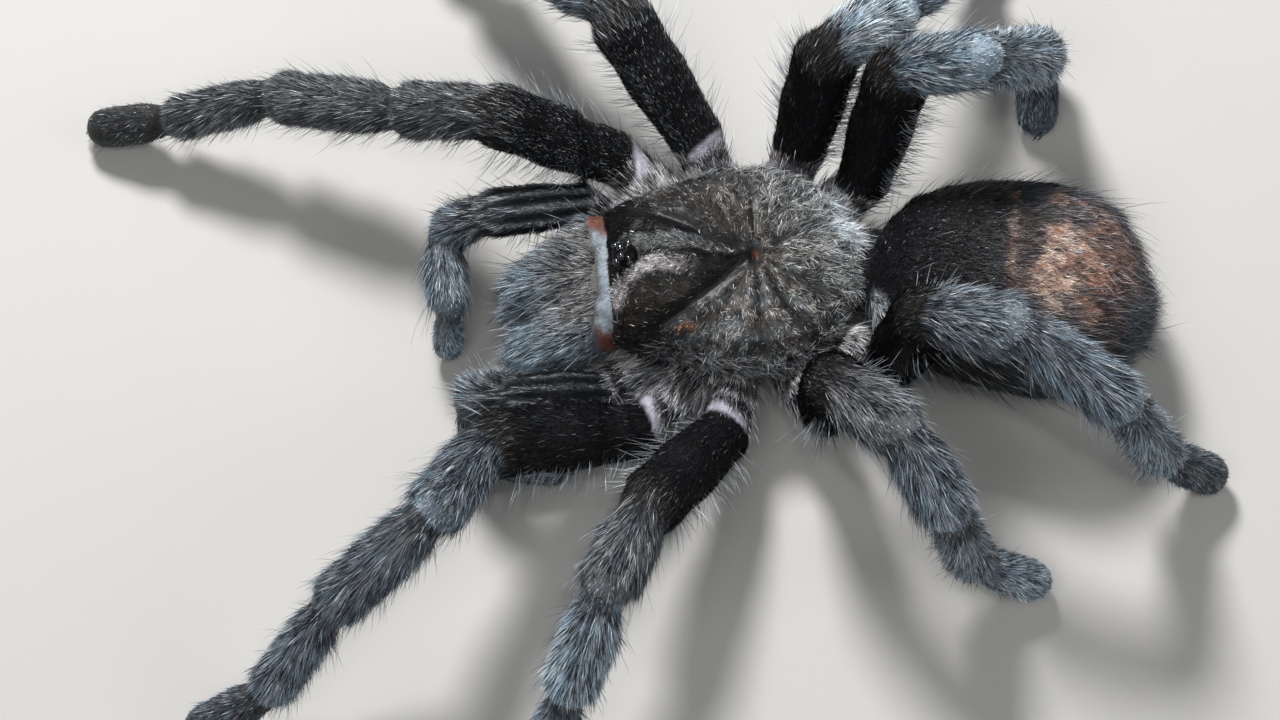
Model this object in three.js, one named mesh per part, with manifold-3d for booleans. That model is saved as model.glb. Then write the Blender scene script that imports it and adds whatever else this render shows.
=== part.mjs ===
// A large New World tarantula, life size, standing still on flat ground.
// Millimetres, +Z up. The head faces -X, so the spider's right side is +Y and its left side is -Y.
// Every outline is drawn to the tips of the short coat. The feet stand on small flats at z = 0.
import * as THREE from 'three';
import { mergeVertices } from 'three/addons/utils/BufferGeometryUtils.js';
import Module from 'manifold-3d';

const wasm = await Module();
wasm.setup();

// ---- Driving dimensions -------------------------------------------------------------------

const GAP = 0.3;                // clear space between neighbouring pieces
const FLAT_DEPTH = 0.25;        // how much of a round foot tip is worn flat against the ground
const BODY_SIDES = 18;
const LIMB_DETAIL = { sides: 10, rings: [0, 0.5, 1] };
const COXA_DETAIL = { sides: 8, rings: [0, 1] };

// Each limb springs from its base, where the trochanter meets the femur, beside the carapace.
// The base is given for the right side. Lengths run from joint to joint.
const LIMBS = {
  leg1: { base: [-21.8, 14.0, 6.6], femur: 18.2, patella: 10.5, tibia: 13.8, metatarsus: 12.2, tarsus: 8.6 },
  leg2: { base: [-14.0, 15.0, 7.2], femur: 16.5, patella: 9.8, tibia: 11.8, metatarsus: 11.3, tarsus: 8.2 },
  leg3: { base: [-4.5, 13.2, 7.2], femur: 14.5, patella: 9.0, tibia: 10.2, metatarsus: 12.0, tarsus: 8.0 },
  leg4: { base: [1.5, 9.3, 7.2], femur: 17.5, patella: 10.0, tibia: 13.5, metatarsus: 15.0, tarsus: 8.0 },
  palp: { base: [-25.8, 9.6, 6.9], femur: 11.8, patella: 7.5, tibia: 8.5, tarsus: 7.0 },
};
const LEG_SEGMENTS = ['femur', 'patella', 'tibia', 'metatarsus', 'tarsus'];
const PALP_SEGMENTS = ['femur', 'patella', 'tibia', 'tarsus'];

// Radius of a leg segment at its near joint, its middle and its far joint, and the palps' share of it
const GIRTH = {
  coxa: [2.5, 3.1, 2.9],
  femur: [2.9, 3.7, 3.1],
  patella: [3.1, 3.3, 2.9],
  tibia: [2.9, 3.2, 2.7],
  metatarsus: [2.6, 2.7, 2.4],
  tarsus: [2.4, 2.5, 2.1],
};
const PALP_GIRTH = 0.74;

// How each limb is held. A pair gives a segment's heading, anticlockwise from +X seen from above,
// and its pitch above the horizontal, in degrees. The segment before the tarsus states a heading
// alone: its pitch is whatever sets the foot down on the ground.
const STANCE = {
  leg1_right: {
    femur: [174, 46], patella: [162, -27], tibia: [163, -16], metatarsus: [176], tarsus: [172, -26],
  },
  leg2_right: {
    femur: [123, 36], patella: [135, -10], tibia: [135, -35], metatarsus: [135], tarsus: [135, -13],
  },
  leg3_right: {
    femur: [58, 64], patella: [29, -6], tibia: [50, -18], metatarsus: [58], tarsus: [58, -20],
  },
  leg4_right: {
    femur: [54, 67], patella: [-14, 35], tibia: [32, -56], metatarsus: [85], tarsus: [-94, -20],
  },
  palp_right: { femur: [-166, 33], patella: [171, -51], tibia: [-90], tarsus: [-104, -75] },
  leg1_left: {
    femur: [-167, 33], patella: [-125, 23], tibia: [-148, -27], metatarsus: [-142], tarsus: [-165, -30],
  },
  leg2_left: {
    femur: [-128, 37], patella: [-116, 15], tibia: [-121, -41], metatarsus: [-120], tarsus: [-120, -13],
  },
  leg3_left: {
    femur: [-62, 79], patella: [-48, 20], tibia: [-59, -38], metatarsus: [-29], tarsus: [-11, -36],
  },
  leg4_left: {
    femur: [-14, 75], patella: [-25, 28], tibia: [-34, -29], metatarsus: [-9], tarsus: [-6, -50],
  },
  palp_left: { femur: [-161, 41], patella: [154, -48], tibia: [-70], tarsus: [-5, -10] },
};

// Inner end of each coxa, at the edge of the sternum, for the right side
const COXA_ROOTS = {
  palp: [-16.8, 4.6, 5.4],
  leg1: [-14.4, 5.2, 5.4],
  leg2: [-11.6, 5.6, 5.4],
  leg3: [-8.4, 5.6, 5.4],
  leg4: [-5.6, 4.6, 5.6],
};

// Cross sections of the body pieces along X. Each gives x, the half width, and the heights of the
// top, of the widest line and of the bottom.
const CARAPACE = [
  [-24.2, 7.2, 13.2, 10.0, 8.6],
  [-22.0, 8.1, 16.2, 9.6, 8.0],
  [-17.5, 9.3, 17.0, 9.0, 7.7],
  [-12.5, 10.9, 15.6, 8.7, 7.5],
  [-7.5, 10.7, 14.0, 8.7, 7.5],
  [-3.2, 8.5, 12.5, 8.8, 7.6],
  [0.3, 3.3, 10.5, 9.2, 8.3],
];
const CARAPACE_SHIFT = 0.45;      // how far the carapace sits towards the spider's right
const STERNUM = [
  [-17.6, 2.0, 5.4, 4.3, 3.2],
  [-14.0, 4.0, 6.0, 4.2, 2.8],
  [-9.0, 4.9, 6.2, 4.2, 2.7],
  [-5.0, 3.6, 6.0, 4.3, 3.0],
  [-2.6, 1.2, 5.4, 4.6, 3.8],
];
const CHELICERA = [
  [-34.3, 1.9, 8.5, 7.0, 5.6],
  [-33.3, 3.0, 10.4, 7.5, 4.9],
  [-31.0, 3.6, 12.5, 8.4, 4.5],
  [-28.0, 3.7, 13.4, 8.9, 4.5],
  [-24.5, 3.4, 12.5, 9.4, 5.2],
];
const CHELICERA_OFFSET = 3.7;     // from the middle plane to the middle of one chelicera
// Both jaws lean towards the spider's left, and close towards each other: sideways for each mm ahead
const JAW_LEAN = { base: -24.5, swing: 0.3, closing: 0.08 };
const ABDOMEN = [
  [0.5, 1.6, 9.6, 8.3, 6.8],
  [3.0, 6.4, 14.0, 9.4, 3.6],
  [8.5, 9.6, 17.6, 10.0, 1.8],
  [15.0, 10.8, 19.0, 10.2, 1.2],
  [21.0, 10.6, 18.6, 9.9, 1.1],
  [26.0, 7.8, 15.8, 9.2, 2.2],
  [28.8, 2.0, 10.6, 8.4, 6.2],
];
const ABDOMEN_TURN = -13;         // degrees that the abdomen is swung towards the spider's left
const PEDICEL = { from: -1.2, to: 3.0, height: 7.9, radius: 1.5 };
const SPINNERET = {
  length: 4.2, radius: 1.0, tip: 0.55, spread: 1.7, splay: 0.4, height: 4.2, start: 24.8, droop: -0.6,
};

// A fang hangs from its hinge, leaning back from the vertical, and curls up as it folds away
const FANG = { length: 6.4, radius: 1.0, tip: 0.26, lean: 30, sweep: 55, hinge: [-33.3, 3.1, 5.4] };

const EYE_MOUND = { centre: [-22.05, CARAPACE_SHIFT + 0.25, 16.7], radii: [1.3, 1.4, 1.6] };
// Eyes of the right half, on a tarantula's mound: offset from its centre, and radius
const EYES = [
  { name: 'front middle', at: [-0.45, 0.48, 1.35], radius: 0.34 },
  { name: 'front side', at: [-0.95, 0.92, 0.75], radius: 0.36 },
  { name: 'rear side', at: [0.5, 1.12, 0.8], radius: 0.3 },
  { name: 'rear middle', at: [0.35, 0.74, 1.2], radius: 0.22 },
];

// ---- Colours ------------------------------------------------------------------------------

function coat(color) {
  return new THREE.MeshStandardMaterial({ color, roughness: 0.85, metalness: 0 });
}

const COLOURS = {
  carapace: coat(0x4a4540),
  abdomen: coat(0x2a2422),
  under: coat(0x3a3634),
  chelicera: coat(0x4a525a),
  coxa: coat(0x55504c),
  femur: coat(0x17171a),
  patella: coat(0x3c444b),
  tibia: coat(0x3a4148),
  metatarsus: coat(0x343b42),
  tarsus: coat(0x30363c),
  horn: new THREE.MeshStandardMaterial({ color: 0x0b0909, roughness: 0.25, metalness: 0 }),
};

// ---- Solids -------------------------------------------------------------------------------

// A geometry with its shared corners joined, as a solid that can be cut
function toSolid(geometry) {
  const plain = geometry.clone();
  plain.deleteAttribute('normal');
  plain.deleteAttribute('uv');
  const merged = mergeVertices(plain, 1e-4);
  return new wasm.Manifold(new wasm.Mesh({
    numProp: 3,
    vertProperties: new Float32Array(merged.attributes.position.array),
    triVerts: new Uint32Array(merged.index.array),
  }));
}

function toGeometry(solid) {
  const mesh = solid.getMesh();
  const geometry = new THREE.BufferGeometry();
  geometry.setAttribute('position', new THREE.BufferAttribute(new Float32Array(mesh.vertProperties), 3));
  geometry.setIndex(Array.from(mesh.triVerts));
  geometry.computeVertexNormals();
  return geometry;
}

// Keeps the side of a plane that its normal points to
function keepBeyond(solid, normal, point, clearance) {
  return solid.trimByPlane(normal.toArray(), normal.dot(point) + clearance);
}

// A closed body through cross sections along X, swollen all round by grow
function loft(sections, sides, rings, grow = 0, squareness = 2.2) {
  const stations = sections.map((section) => section[0]);
  const values = sections.flatMap((section) => section.slice(1));
  const profile = new THREE.CubicInterpolant(stations, values, 4, new Float64Array(4));
  const first = stations[0];
  const last = stations[stations.length - 1];
  const geometry = new THREE.CylinderGeometry(1, 1, 1, sides, rings);
  const points = geometry.attributes.position;
  for (let i = 0; i < points.count; i += 1) {
    const along = (1 - Math.cos(Math.PI * (0.5 - points.getY(i)))) / 2;
    const reach = Math.hypot(points.getX(i), points.getZ(i));
    const angle = Math.atan2(points.getX(i), points.getZ(i));
    const across = Math.sign(Math.cos(angle)) * Math.abs(Math.cos(angle)) ** (2 / squareness);
    const rise = Math.sign(Math.sin(angle)) * Math.abs(Math.sin(angle)) ** (2 / squareness);
    const x = THREE.MathUtils.lerp(first, last, along);
    const [halfWidth, top, widest, bottom] = profile.evaluate(x);
    const lift = rise > 0 ? top - widest + grow : widest - bottom + grow;
    const stretched = THREE.MathUtils.lerp(first - grow, last + grow, along);
    points.setXYZ(i, stretched, reach * across * (halfWidth + grow), widest + reach * rise * lift);
  }
  return outward(toSolid(geometry), geometry);
}

// The same solid with its faces pointing out
function outward(solid, geometry) {
  if (solid.volume() > 0) {
    return solid;
  }
  const index = geometry.index.array;
  for (let i = 0; i < index.length; i += 3) {
    [index[i], index[i + 1]] = [index[i + 1], index[i]];
  }
  return toSolid(geometry);
}

// A limb segment along +Y from its near joint at 0, with a round end on each joint
function limbSegment(length, [near, middle, far], grow = 0, detail = LIMB_DETAIL) {
  const belly = middle - (near + far) / 2;
  const profile = [new THREE.Vector2(0, -near - grow)];
  profile.push(new THREE.Vector2((near + grow) * Math.SQRT1_2, -(near + grow) * Math.SQRT1_2));
  for (const share of detail.rings) {
    const radius = THREE.MathUtils.lerp(near, far, share) + belly * Math.sin(Math.PI * share);
    profile.push(new THREE.Vector2(radius + grow, share * length));
  }
  profile.push(new THREE.Vector2((far + grow) * Math.SQRT1_2, length + (far + grow) * Math.SQRT1_2));
  profile.push(new THREE.Vector2(0, length + far + grow));
  const geometry = new THREE.LatheGeometry(profile, detail.sides);
  return outward(toSolid(geometry), geometry);
}

// ---- Scene graph --------------------------------------------------------------------------

const tarantula = new THREE.Group();
const pieces = {};

// A solid made in its own space, with where it sits, and a swollen copy that neighbours keep out of
function addPiece(name, colour, solid, swollen, place = new THREE.Matrix4()) {
  pieces[name] = { name, colour, solid, swollen, place };
}

// Cuts a piece back so that it stays clear of its neighbours
function keepClear(name, ...neighbours) {
  const piece = pieces[name];
  const toOwnSpace = piece.place.clone().invert();
  for (const neighbour of neighbours) {
    const other = pieces[neighbour];
    const shift = toOwnSpace.clone().multiply(other.place);
    piece.solid = piece.solid.subtract(other.swollen.transform(shift.elements));
  }
}

function mirrorPoint([x, y, z], side) {
  return new THREE.Vector3(x, side === 'right' ? y : -y, z);
}

function direction([heading, pitch]) {
  const turn = THREE.MathUtils.degToRad(heading);
  const tilt = THREE.MathUtils.degToRad(pitch);
  return new THREE.Vector3(Math.cos(tilt) * Math.cos(turn), Math.cos(tilt) * Math.sin(turn), Math.sin(tilt));
}

// The joints of a limb from its base outwards, with the foot set down on the ground
function limbJoints(kind, side, segments, scale) {
  const limb = LIMBS[kind];
  const stance = STANCE[`${kind}_${side}`];
  const joints = [mirrorPoint(limb.base, side)];
  const footHeight = GIRTH.tarsus[2] * scale - FLAT_DEPTH;
  for (const segment of segments) {
    const start = joints[joints.length - 1];
    let [heading, pitch] = stance[segment];
    if (pitch === undefined) {
      const tarsusDrop = limb.tarsus * direction(stance.tarsus).z;
      const sine = (footHeight - tarsusDrop - start.z) / limb[segment];
      pitch = THREE.MathUtils.radToDeg(Math.asin(THREE.MathUtils.clamp(sine, -1, 1)));
    }
    joints.push(start.clone().addScaledVector(direction([heading, pitch]), limb[segment]));
  }
  return joints;
}

// A matrix that stands a +Y segment on one joint, pointing at the next
function between(start, end) {
  const axis = end.clone().sub(start).normalize();
  const turn = new THREE.Quaternion().setFromUnitVectors(new THREE.Vector3(0, 1, 0), axis);
  return new THREE.Matrix4().compose(start, turn, new THREE.Vector3(1, 1, 1));
}

// The plane that shares a bent joint fairly between the two segments that meet there
function mitre(before, joint, after) {
  const inbound = joint.clone().sub(before).normalize();
  const outbound = after.clone().sub(joint).normalize();
  return inbound.add(outbound).normalize();
}

function inSpaceOf(place, normal) {
  return normal.clone().transformDirection(place.clone().invert());
}

function addLimb(kind, side) {
  const isPalp = kind === 'palp';
  const segments = isPalp ? PALP_SEGMENTS : LEG_SEGMENTS;
  const scale = isPalp ? PALP_GIRTH : 1;
  const joints = limbJoints(kind, side, segments, scale);
  const chain = [mirrorPoint(COXA_ROOTS[kind], side), ...joints];
  segments.forEach((segment, i) => {
    const [before, start, end, after] = chain.slice(i, i + 4);
    const place = between(start, end);
    const length = start.distanceTo(end);
    const radii = GIRTH[segment].map((radius) => radius * scale);
    let solid = limbSegment(length, radii);
    solid = keepBeyond(solid, inSpaceOf(place, mitre(before, start, end)), new THREE.Vector3(), GAP / 2);
    if (after) {
      const back = inSpaceOf(place, mitre(start, end, after)).negate();
      solid = keepBeyond(solid, back, new THREE.Vector3(0, length, 0), GAP / 2);
    } else {
      const ground = new THREE.Vector3(0, 0, -start.z).applyMatrix4(
        new THREE.Matrix4().extractRotation(place).invert());
      solid = keepBeyond(solid, inSpaceOf(place, new THREE.Vector3(0, 0, 1)), ground, 0);
    }
    const name = `${kind}_${side}_${segment}`;
    addPiece(name, segment, solid, limbSegment(length, radii, GAP), place);
  });
  return joints;
}

// The coxae and trochanters of one side, joined where they crowd together round the sternum
function addCoxae(side, bases) {
  let solid = null;
  let swollen = null;
  for (const kind of Object.keys(LIMBS)) {
    const scale = kind === 'palp' ? PALP_GIRTH : 1;
    const root = mirrorPoint(COXA_ROOTS[kind], side);
    const [base, knee] = bases[kind];
    const place = between(root, base);
    const length = root.distanceTo(base);
    const radii = GIRTH.coxa.map((radius) => radius * scale);
    let coxa = limbSegment(length, radii, 0, COXA_DETAIL);
    const back = inSpaceOf(place, mitre(root, base, knee)).negate();
    coxa = keepBeyond(coxa, back, new THREE.Vector3(0, length, 0), GAP / 2);
    coxa = coxa.transform(place.elements);
    const cover = limbSegment(length, radii, GAP, COXA_DETAIL).transform(place.elements);
    solid = solid ? solid.add(coxa) : coxa;
    swollen = swollen ? swollen.add(cover) : cover;
  }
  addPiece(`coxae_${side}`, 'coxa', solid, swollen);
}

// A tapered horn that curls through an angle as it grows along +Y, towards +Z
function curledHorn(length, radius, sweep, grow = 0) {
  const profile = [new THREE.Vector2(0, -grow)];
  for (const share of [0, 0.25, 0.5, 0.75]) {
    profile.push(new THREE.Vector2(radius * (1 - share ** 1.5) + grow, share * length));
  }
  profile.push(new THREE.Vector2(FANG.tip + grow, length * 0.96));
  profile.push(new THREE.Vector2(0, length + grow));
  const geometry = new THREE.LatheGeometry(profile, 8);
  const points = geometry.attributes.position;
  const bend = THREE.MathUtils.degToRad(sweep) / length;
  for (let i = 0; i < points.count; i += 1) {
    const angle = points.getY(i) * bend;
    const reach = 1 / bend - points.getZ(i);
    points.setY(i, reach * Math.sin(angle));
    points.setZ(i, 1 / bend - reach * Math.cos(angle));
  }
  return outward(toSolid(geometry), geometry);
}

// A matrix that slides what lies ahead of the jaws' base sideways, by slant for each mm
function leanJaw(slant) {
  return new THREE.Matrix4().set(1, 0, 0, 0, slant, 1, 0, -slant * JAW_LEAN.base, 0, 0, 1, 0, 0, 0, 0, 1);
}

// A matrix that hangs a horn from its hinge so that it curls backwards, under the jaw
function fangSocket(hinge) {
  const lean = THREE.MathUtils.degToRad(FANG.lean);
  const down = new THREE.Vector3(Math.sin(lean), 0, -Math.cos(lean));
  const back = new THREE.Vector3(Math.cos(lean), 0, Math.sin(lean));
  return new THREE.Matrix4().makeBasis(down.clone().cross(back), down, back).setPosition(hinge);
}

function ellipsoid(radii, centre, grow = 0, detail = 10) {
  const geometry = new THREE.SphereGeometry(1, detail, detail / 2);
  geometry.scale(radii[0] + grow, radii[1] + grow, radii[2] + grow);
  geometry.translate(...centre);
  return toSolid(geometry);
}

function addBody() {
  const aside = new THREE.Matrix4().makeTranslation(0, CARAPACE_SHIFT, 0);
  const shield = loft(CARAPACE, BODY_SIDES, 10);
  addPiece('carapace', 'carapace', shield, loft(CARAPACE, BODY_SIDES, 10, GAP), aside);
  addPiece('sternum', 'under', loft(STERNUM, 12, 5), loft(STERNUM, 12, 5, GAP));

  const swing = new THREE.Matrix4().makeRotationZ(THREE.MathUtils.degToRad(ABDOMEN_TURN));
  const stalk = new THREE.CylinderGeometry(PEDICEL.radius, PEDICEL.radius, PEDICEL.to - PEDICEL.from, 10);
  stalk.rotateZ(Math.PI / 2);
  stalk.translate((PEDICEL.from + PEDICEL.to) / 2, 0, PEDICEL.height);
  const abdomen = loft(ABDOMEN, BODY_SIDES, 12).add(toSolid(stalk));
  addPiece('abdomen', 'abdomen', abdomen, loft(ABDOMEN, BODY_SIDES, 12, GAP), swing);

  for (const side of ['right', 'left']) {
    const across = side === 'right' ? 1 : -1;
    const lean = leanJaw(JAW_LEAN.swing + across * JAW_LEAN.closing);
    const jawPlace = new THREE.Matrix4().makeTranslation(0, across * CHELICERA_OFFSET, 0).premultiply(lean);
    const outwards = new THREE.Vector3(-JAW_LEAN.swing, 1, 0).normalize().multiplyScalar(across);
    const middle = new THREE.Vector3(JAW_LEAN.base, 0, 0);
    const whole = loft(CHELICERA, 12, 7).transform(jawPlace.elements);
    const jaw = keepBeyond(whole, outwards, middle, GAP / 2);
    const jawCover = loft(CHELICERA, 12, 7, GAP).transform(jawPlace.elements);
    addPiece(`chelicera_${side}`, 'chelicera', jaw, jawCover);

    const hinge = mirrorPoint(FANG.hinge, side).applyMatrix4(lean);
    const fangPlace = fangSocket(hinge);
    const fang = curledHorn(FANG.length, FANG.radius, FANG.sweep);
    const fangCover = curledHorn(FANG.length, FANG.radius, FANG.sweep, GAP);
    addPiece(`fang_${side}`, 'horn', fang, fangCover, fangPlace);

    const tail = new THREE.Vector3(SPINNERET.start, across * SPINNERET.spread, SPINNERET.height);
    const reach = new THREE.Vector3(SPINNERET.length, across * SPINNERET.splay, SPINNERET.droop);
    const tip = tail.clone().add(reach);
    const tailPlace = between(tail.applyMatrix4(swing), tip.applyMatrix4(swing));
    const radii = [SPINNERET.radius, SPINNERET.radius, SPINNERET.radius * SPINNERET.tip];
    const spinneret = limbSegment(SPINNERET.length, radii);
    addPiece(`spinneret_${side}`, 'abdomen', spinneret, limbSegment(SPINNERET.length, radii, GAP), tailPlace);
  }
}

function addEyeMound() {
  const { centre, radii } = EYE_MOUND;
  let mound = ellipsoid(radii, centre);
  for (const eye of EYES) {
    for (const across of [1, -1]) {
      const at = [centre[0] + eye.at[0], centre[1] + across * eye.at[1], centre[2] + eye.at[2]];
      mound = mound.add(ellipsoid([eye.radius, eye.radius, eye.radius], at, 0, 6));
    }
  }
  addPiece('eye_mound', 'horn', mound, ellipsoid(radii, centre, GAP));
}

addBody();
addEyeMound();
for (const side of ['right', 'left']) {
  const bases = {};
  for (const kind of Object.keys(LIMBS)) {
    bases[kind] = addLimb(kind, side);
  }
  addCoxae(side, bases);
  keepClear(`coxae_${side}`, 'carapace', 'sternum', 'abdomen');
  keepClear(`chelicera_${side}`, 'carapace', `coxae_${side}`, `fang_${side}`, `palp_${side}_femur`);
  keepClear(`spinneret_${side}`, 'abdomen');
  keepClear('abdomen', `coxae_${side}`, `leg4_${side}_femur`);
  keepClear(`palp_${side}_femur`, `leg1_${side}_femur`);
  keepClear(`palp_${side}_patella`, `leg1_${side}_femur`);
}
keepClear('eye_mound', 'carapace');
keepClear('abdomen', 'carapace', 'sternum');

for (const { name, colour, solid, place } of Object.values(pieces)) {
  const mesh = new THREE.Mesh(toGeometry(solid), COLOURS[colour]);
  mesh.name = name;
  place.decompose(mesh.position, mesh.quaternion, mesh.scale);
  tarantula.add(mesh);
}

// The origin lies on the ground under the middle of the whole animal
const box = new THREE.Box3().setFromObject(tarantula, true);
const middle = box.getCenter(new THREE.Vector3());
tarantula.position.set(-middle.x, -middle.y, -box.min.z);

export default tarantula;
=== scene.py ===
"""A life-size tarantula: one skin, a shield, a hairy coat, eyes, fangs and claws on a fixed frame.

Everything is in metres, +Z up, with the head towards -X and the spider's right side towards +Y.
"""

import itertools
import math

import bmesh
import bpy
import numpy as np
from mathutils import Matrix, Vector
from mathutils.bvhtree import BVHTree


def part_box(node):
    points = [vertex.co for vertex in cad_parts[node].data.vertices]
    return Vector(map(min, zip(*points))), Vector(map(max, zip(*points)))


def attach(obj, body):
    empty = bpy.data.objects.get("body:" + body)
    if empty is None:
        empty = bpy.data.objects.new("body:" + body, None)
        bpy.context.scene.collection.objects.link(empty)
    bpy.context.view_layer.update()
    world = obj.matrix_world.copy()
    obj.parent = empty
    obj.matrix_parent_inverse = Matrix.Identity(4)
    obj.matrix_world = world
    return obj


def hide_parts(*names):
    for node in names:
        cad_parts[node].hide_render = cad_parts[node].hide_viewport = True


bl_info = {
    "name": "Museum Tarantula",
    "version": (1, 0, 0),
    "blender": (4, 5, 0),
    "location": "View3D > Sidebar > Tarantula",
    "description": "Builds the skin, coat, eyes, fangs and claws of a life-size tarantula",
    "category": "Add Mesh",
}

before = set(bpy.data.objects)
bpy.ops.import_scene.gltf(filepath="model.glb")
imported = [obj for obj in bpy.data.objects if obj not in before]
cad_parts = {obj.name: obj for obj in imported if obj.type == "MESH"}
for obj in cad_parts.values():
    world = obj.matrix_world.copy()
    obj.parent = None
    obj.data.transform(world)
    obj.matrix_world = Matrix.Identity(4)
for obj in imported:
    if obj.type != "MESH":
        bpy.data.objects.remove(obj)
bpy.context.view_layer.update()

MM = 0.001
GAP = 0.3 * MM  # clear space between two neighbouring nodes of the frame
PALP_FOOT, LEG_FOOT = 1.6 * MM, 2.1 * MM  # how far a limb's last joint lies short of its tip
GIRTH_STATIONS = (0.15, 0.5, 0.85)  # shares of a segment's length at which its radius is read
JOINT_BLEND = 2.0 * MM  # how near a joint the lie of the hair turns into the next segment's
BELOW = 125  # degrees from a limb's upper line at which its underside begins
SIDES = {"right": 1, "left": -1}
LEG_SEGMENTS = ("femur", "patella", "tibia", "metatarsus", "tarsus")
PALP_SEGMENTS = ("femur", "patella", "tibia", "tarsus")
LIMB_KINDS = ("palp", "leg1", "leg2", "leg3", "leg4")
# Where each coxa springs from the sternum, as a share of the sternum's length from its front
COXA_SHARES = {"palp": 0.05, "leg1": 0.21, "leg2": 0.40, "leg3": 0.61, "leg4": 0.80}
COXA_ROOT_OUT = 5.0 * MM  # and how far it springs from the middle line
FOVEA = (0.60, 0.0)  # the shield's pit, as shares of its length and of its half width
# Neck groove, outwards from the pit
GROOVE = ((0.585, 0.02), (0.40, 0.25), (0.32, 0.38), (0.21, 0.50), (0.11, 0.66))
GROOVE_LEAN = 0.08  # how far the neck grooves lie towards the spider's left
# Silvery streaks on the head: shares of the shield's length and half width
LEFT_STREAK = ((0.035, -0.35), (0.06, -0.22), (0.12, -0.12), (0.20, -0.06), (0.35, -0.11))
RIGHT_STREAK = ((0.09, 0.17), (0.14, 0.145), (0.37, 0.11), (0.50, 0.06))
RADIAL = (30, 62, 90)  # degrees from straight back of the grooves that spread from the pit
# The rusty arc on the abdomen: shares of its length and half width
RUST_ARC = ((0.63, 0.68), (0.76, 0.62), (0.86, 0.41), (0.895, 0.12))
# White tufts behind the shield: shares of its length and half width, height and reach
TUFTS = (
    (0.93, 0.55, 0.0098, 0.0019),
    (0.95, 0.31, 0.0100, 0.0023),
    (1.04, -0.55, 0.0110, 0.0027),
)
# How pale some coats are painted beside the others, as painted light and shade on the legs that the
# light falls on or misses, and how far they turn from slate to umber
LIMB_LIGHT_AND_TONES = {
    "leg1_right": (0.40, 0.50),
    "leg3_right": (1.70, 0.0),
    "leg4_right": (1.40, 0.0),
    "leg1_left": (0.90, 0.05),
    "leg2_left": (1.18, 0.0),
    "leg3_left": (1.02, 0.1),
    "palp_left": (0.75, 0.1),
}
# Segments painted paler or darker than the rest of their leg: partly their own tone, partly painted
# light and shade
SEGMENT_LIGHT_AND_TONES = {
    ("leg3_right", 1): 2.1,
    ("leg4_right", 1): 1.45,
    ("leg4_left", 1): 1.35,
    ("leg2_left", 1): 0.62,
    ("leg2_left", 2): 1.5,
    ("leg3_left", 4): 1.7,
    ("leg4_left", 3): 1.2,
    ("palp_right", 2): 0.72,
    ("palp_right", 3): 1.1,
    ("leg4_right", 3): 0.6,
    ("leg1_left", 2): 0.7,
}
# Segments that turn further to umber than the rest of their leg
BROWN_SEGMENTS = {"leg3_left": {1: 0.6}, "leg2_left": {1: 0.45}, "leg4_left": {1: 0.25}}
# How clearly the bare crescent shows at the base of each leg
CRESCENTS = {
    "leg1_right": 1.0,
    "leg2_right": 1.0,
    "leg1_left": 1.0,
    "leg2_left": 1.0,
    "leg3_right": 0.3,
}
# How long the hair of some limbs is beside the others
LENGTHS = {"leg1_right": 0.72, "leg3_right": 0.9, "leg4_right": 0.9}
# Legs whose feet are painted dark as painted shade, legs whose femora are richly speckled, and
# femora with a thick fringe
SHADED_FEET = ("leg1_right", "leg4_right", "leg4_left", "leg1_left")
SPECKLED = ("leg1_right", "leg2_right")
FRINGED = ("leg3_right", "leg4_right")
UNWRAP = "OFBake"
TUFT_PATCH = 0.003  # side of each hair's patch on the unwrap
MARKING = "marking"  # name of the painted colours
ROOT_DEPTH = 0.06 * MM  # how deep a hair is rooted
ROOT_ANGLES = (2, 88)  # flattest and steepest angle at which a hair leaves the skin
TIP_ANGLES = (-20, 88)  # and at which it ends
TAPER = 0.55  # share of its width that a hair loses towards its tip
FLOOR_GAP = 0.05 * MM  # how far above the floor every hair stays
SILVERY = 0.8  # how bright a silvery hair is beside the silver setting
BRISTLE = {"rings": 3, "sides": 3}  # build of a long bristle
MOUND_RADII = (1.28, 1.30, 1.15)  # of the eye mound, in millimetres
MOUND_AHEAD = 0.1 * MM  # how far the mound's middle lies ahead of its node's middle
MOUND_SUNK = 2.4 * MM  # and below its node's top
# Cells that the hard pieces are fused from, and how often each fused piece is smoothed
SHIELD_VOXEL, MOUND_VOXEL = 0.17 * MM, 0.06 * MM
SMOOTHING = {"skin": 8, "shield": 12, "mound": 4}
STERNUM_DEPTH, SPINNERET_DEPTH = 0.3 * MM, 0.25 * MM  # their short coats, which are not settings
BAND_SUNK = 0.30 * MM  # how deep the bare band lies under the hairy jaws
LATHE_SIDES, STALK_SIDES = 24, 16
BRISTLE_SOWN = 9.0  # roots on a square millimetre from which a limb's bristles are drawn
CREASES_SOWN = 110.0  # pale short hairs on a square millimetre of the bare band
# Eyes of one side, mirrored for the other: offset from the mound's middle and radius, in mm
EYES = {
    "front middle": ((-0.38, 0.43, 0.98), 0.41),
    "front side": ((-0.84, 0.82, 0.58), 0.38),
    "rear side": ((0.42, 0.98, 0.60), 0.33),
    "rear middle": ((0.34, 0.66, 0.92), 0.24),
}
CLAW_STEPS = 5  # straight pieces that a claw is bent from
CLAW_LENGTH = 1.5 * MM


# ---- Settings -----------------------------------------------------------------------------------


def number_setting(name, description, default, **kind):
    return bpy.props.FloatProperty(name=name, description=description, default=default, **kind)


def length_setting(name, description, millimetres):
    """A length that a user may change, stored in metres."""
    kind = {"min": 0.0, "precision": 5, "subtype": "DISTANCE", "unit": "LENGTH"}
    return number_setting(name, description, millimetres * MM, **kind)


def angle_setting(name, description, degrees):
    kind = {"subtype": "ANGLE", "unit": "ROTATION"}
    return number_setting(name, description, math.radians(degrees), **kind)


def colour_setting(name, description, colour):
    kind = {"min": 0.0, "max": 1.0, "size": 3, "subtype": "COLOR"}
    return bpy.props.FloatVectorProperty(
        name=name, description=description, default=colour, **kind
    )


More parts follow.
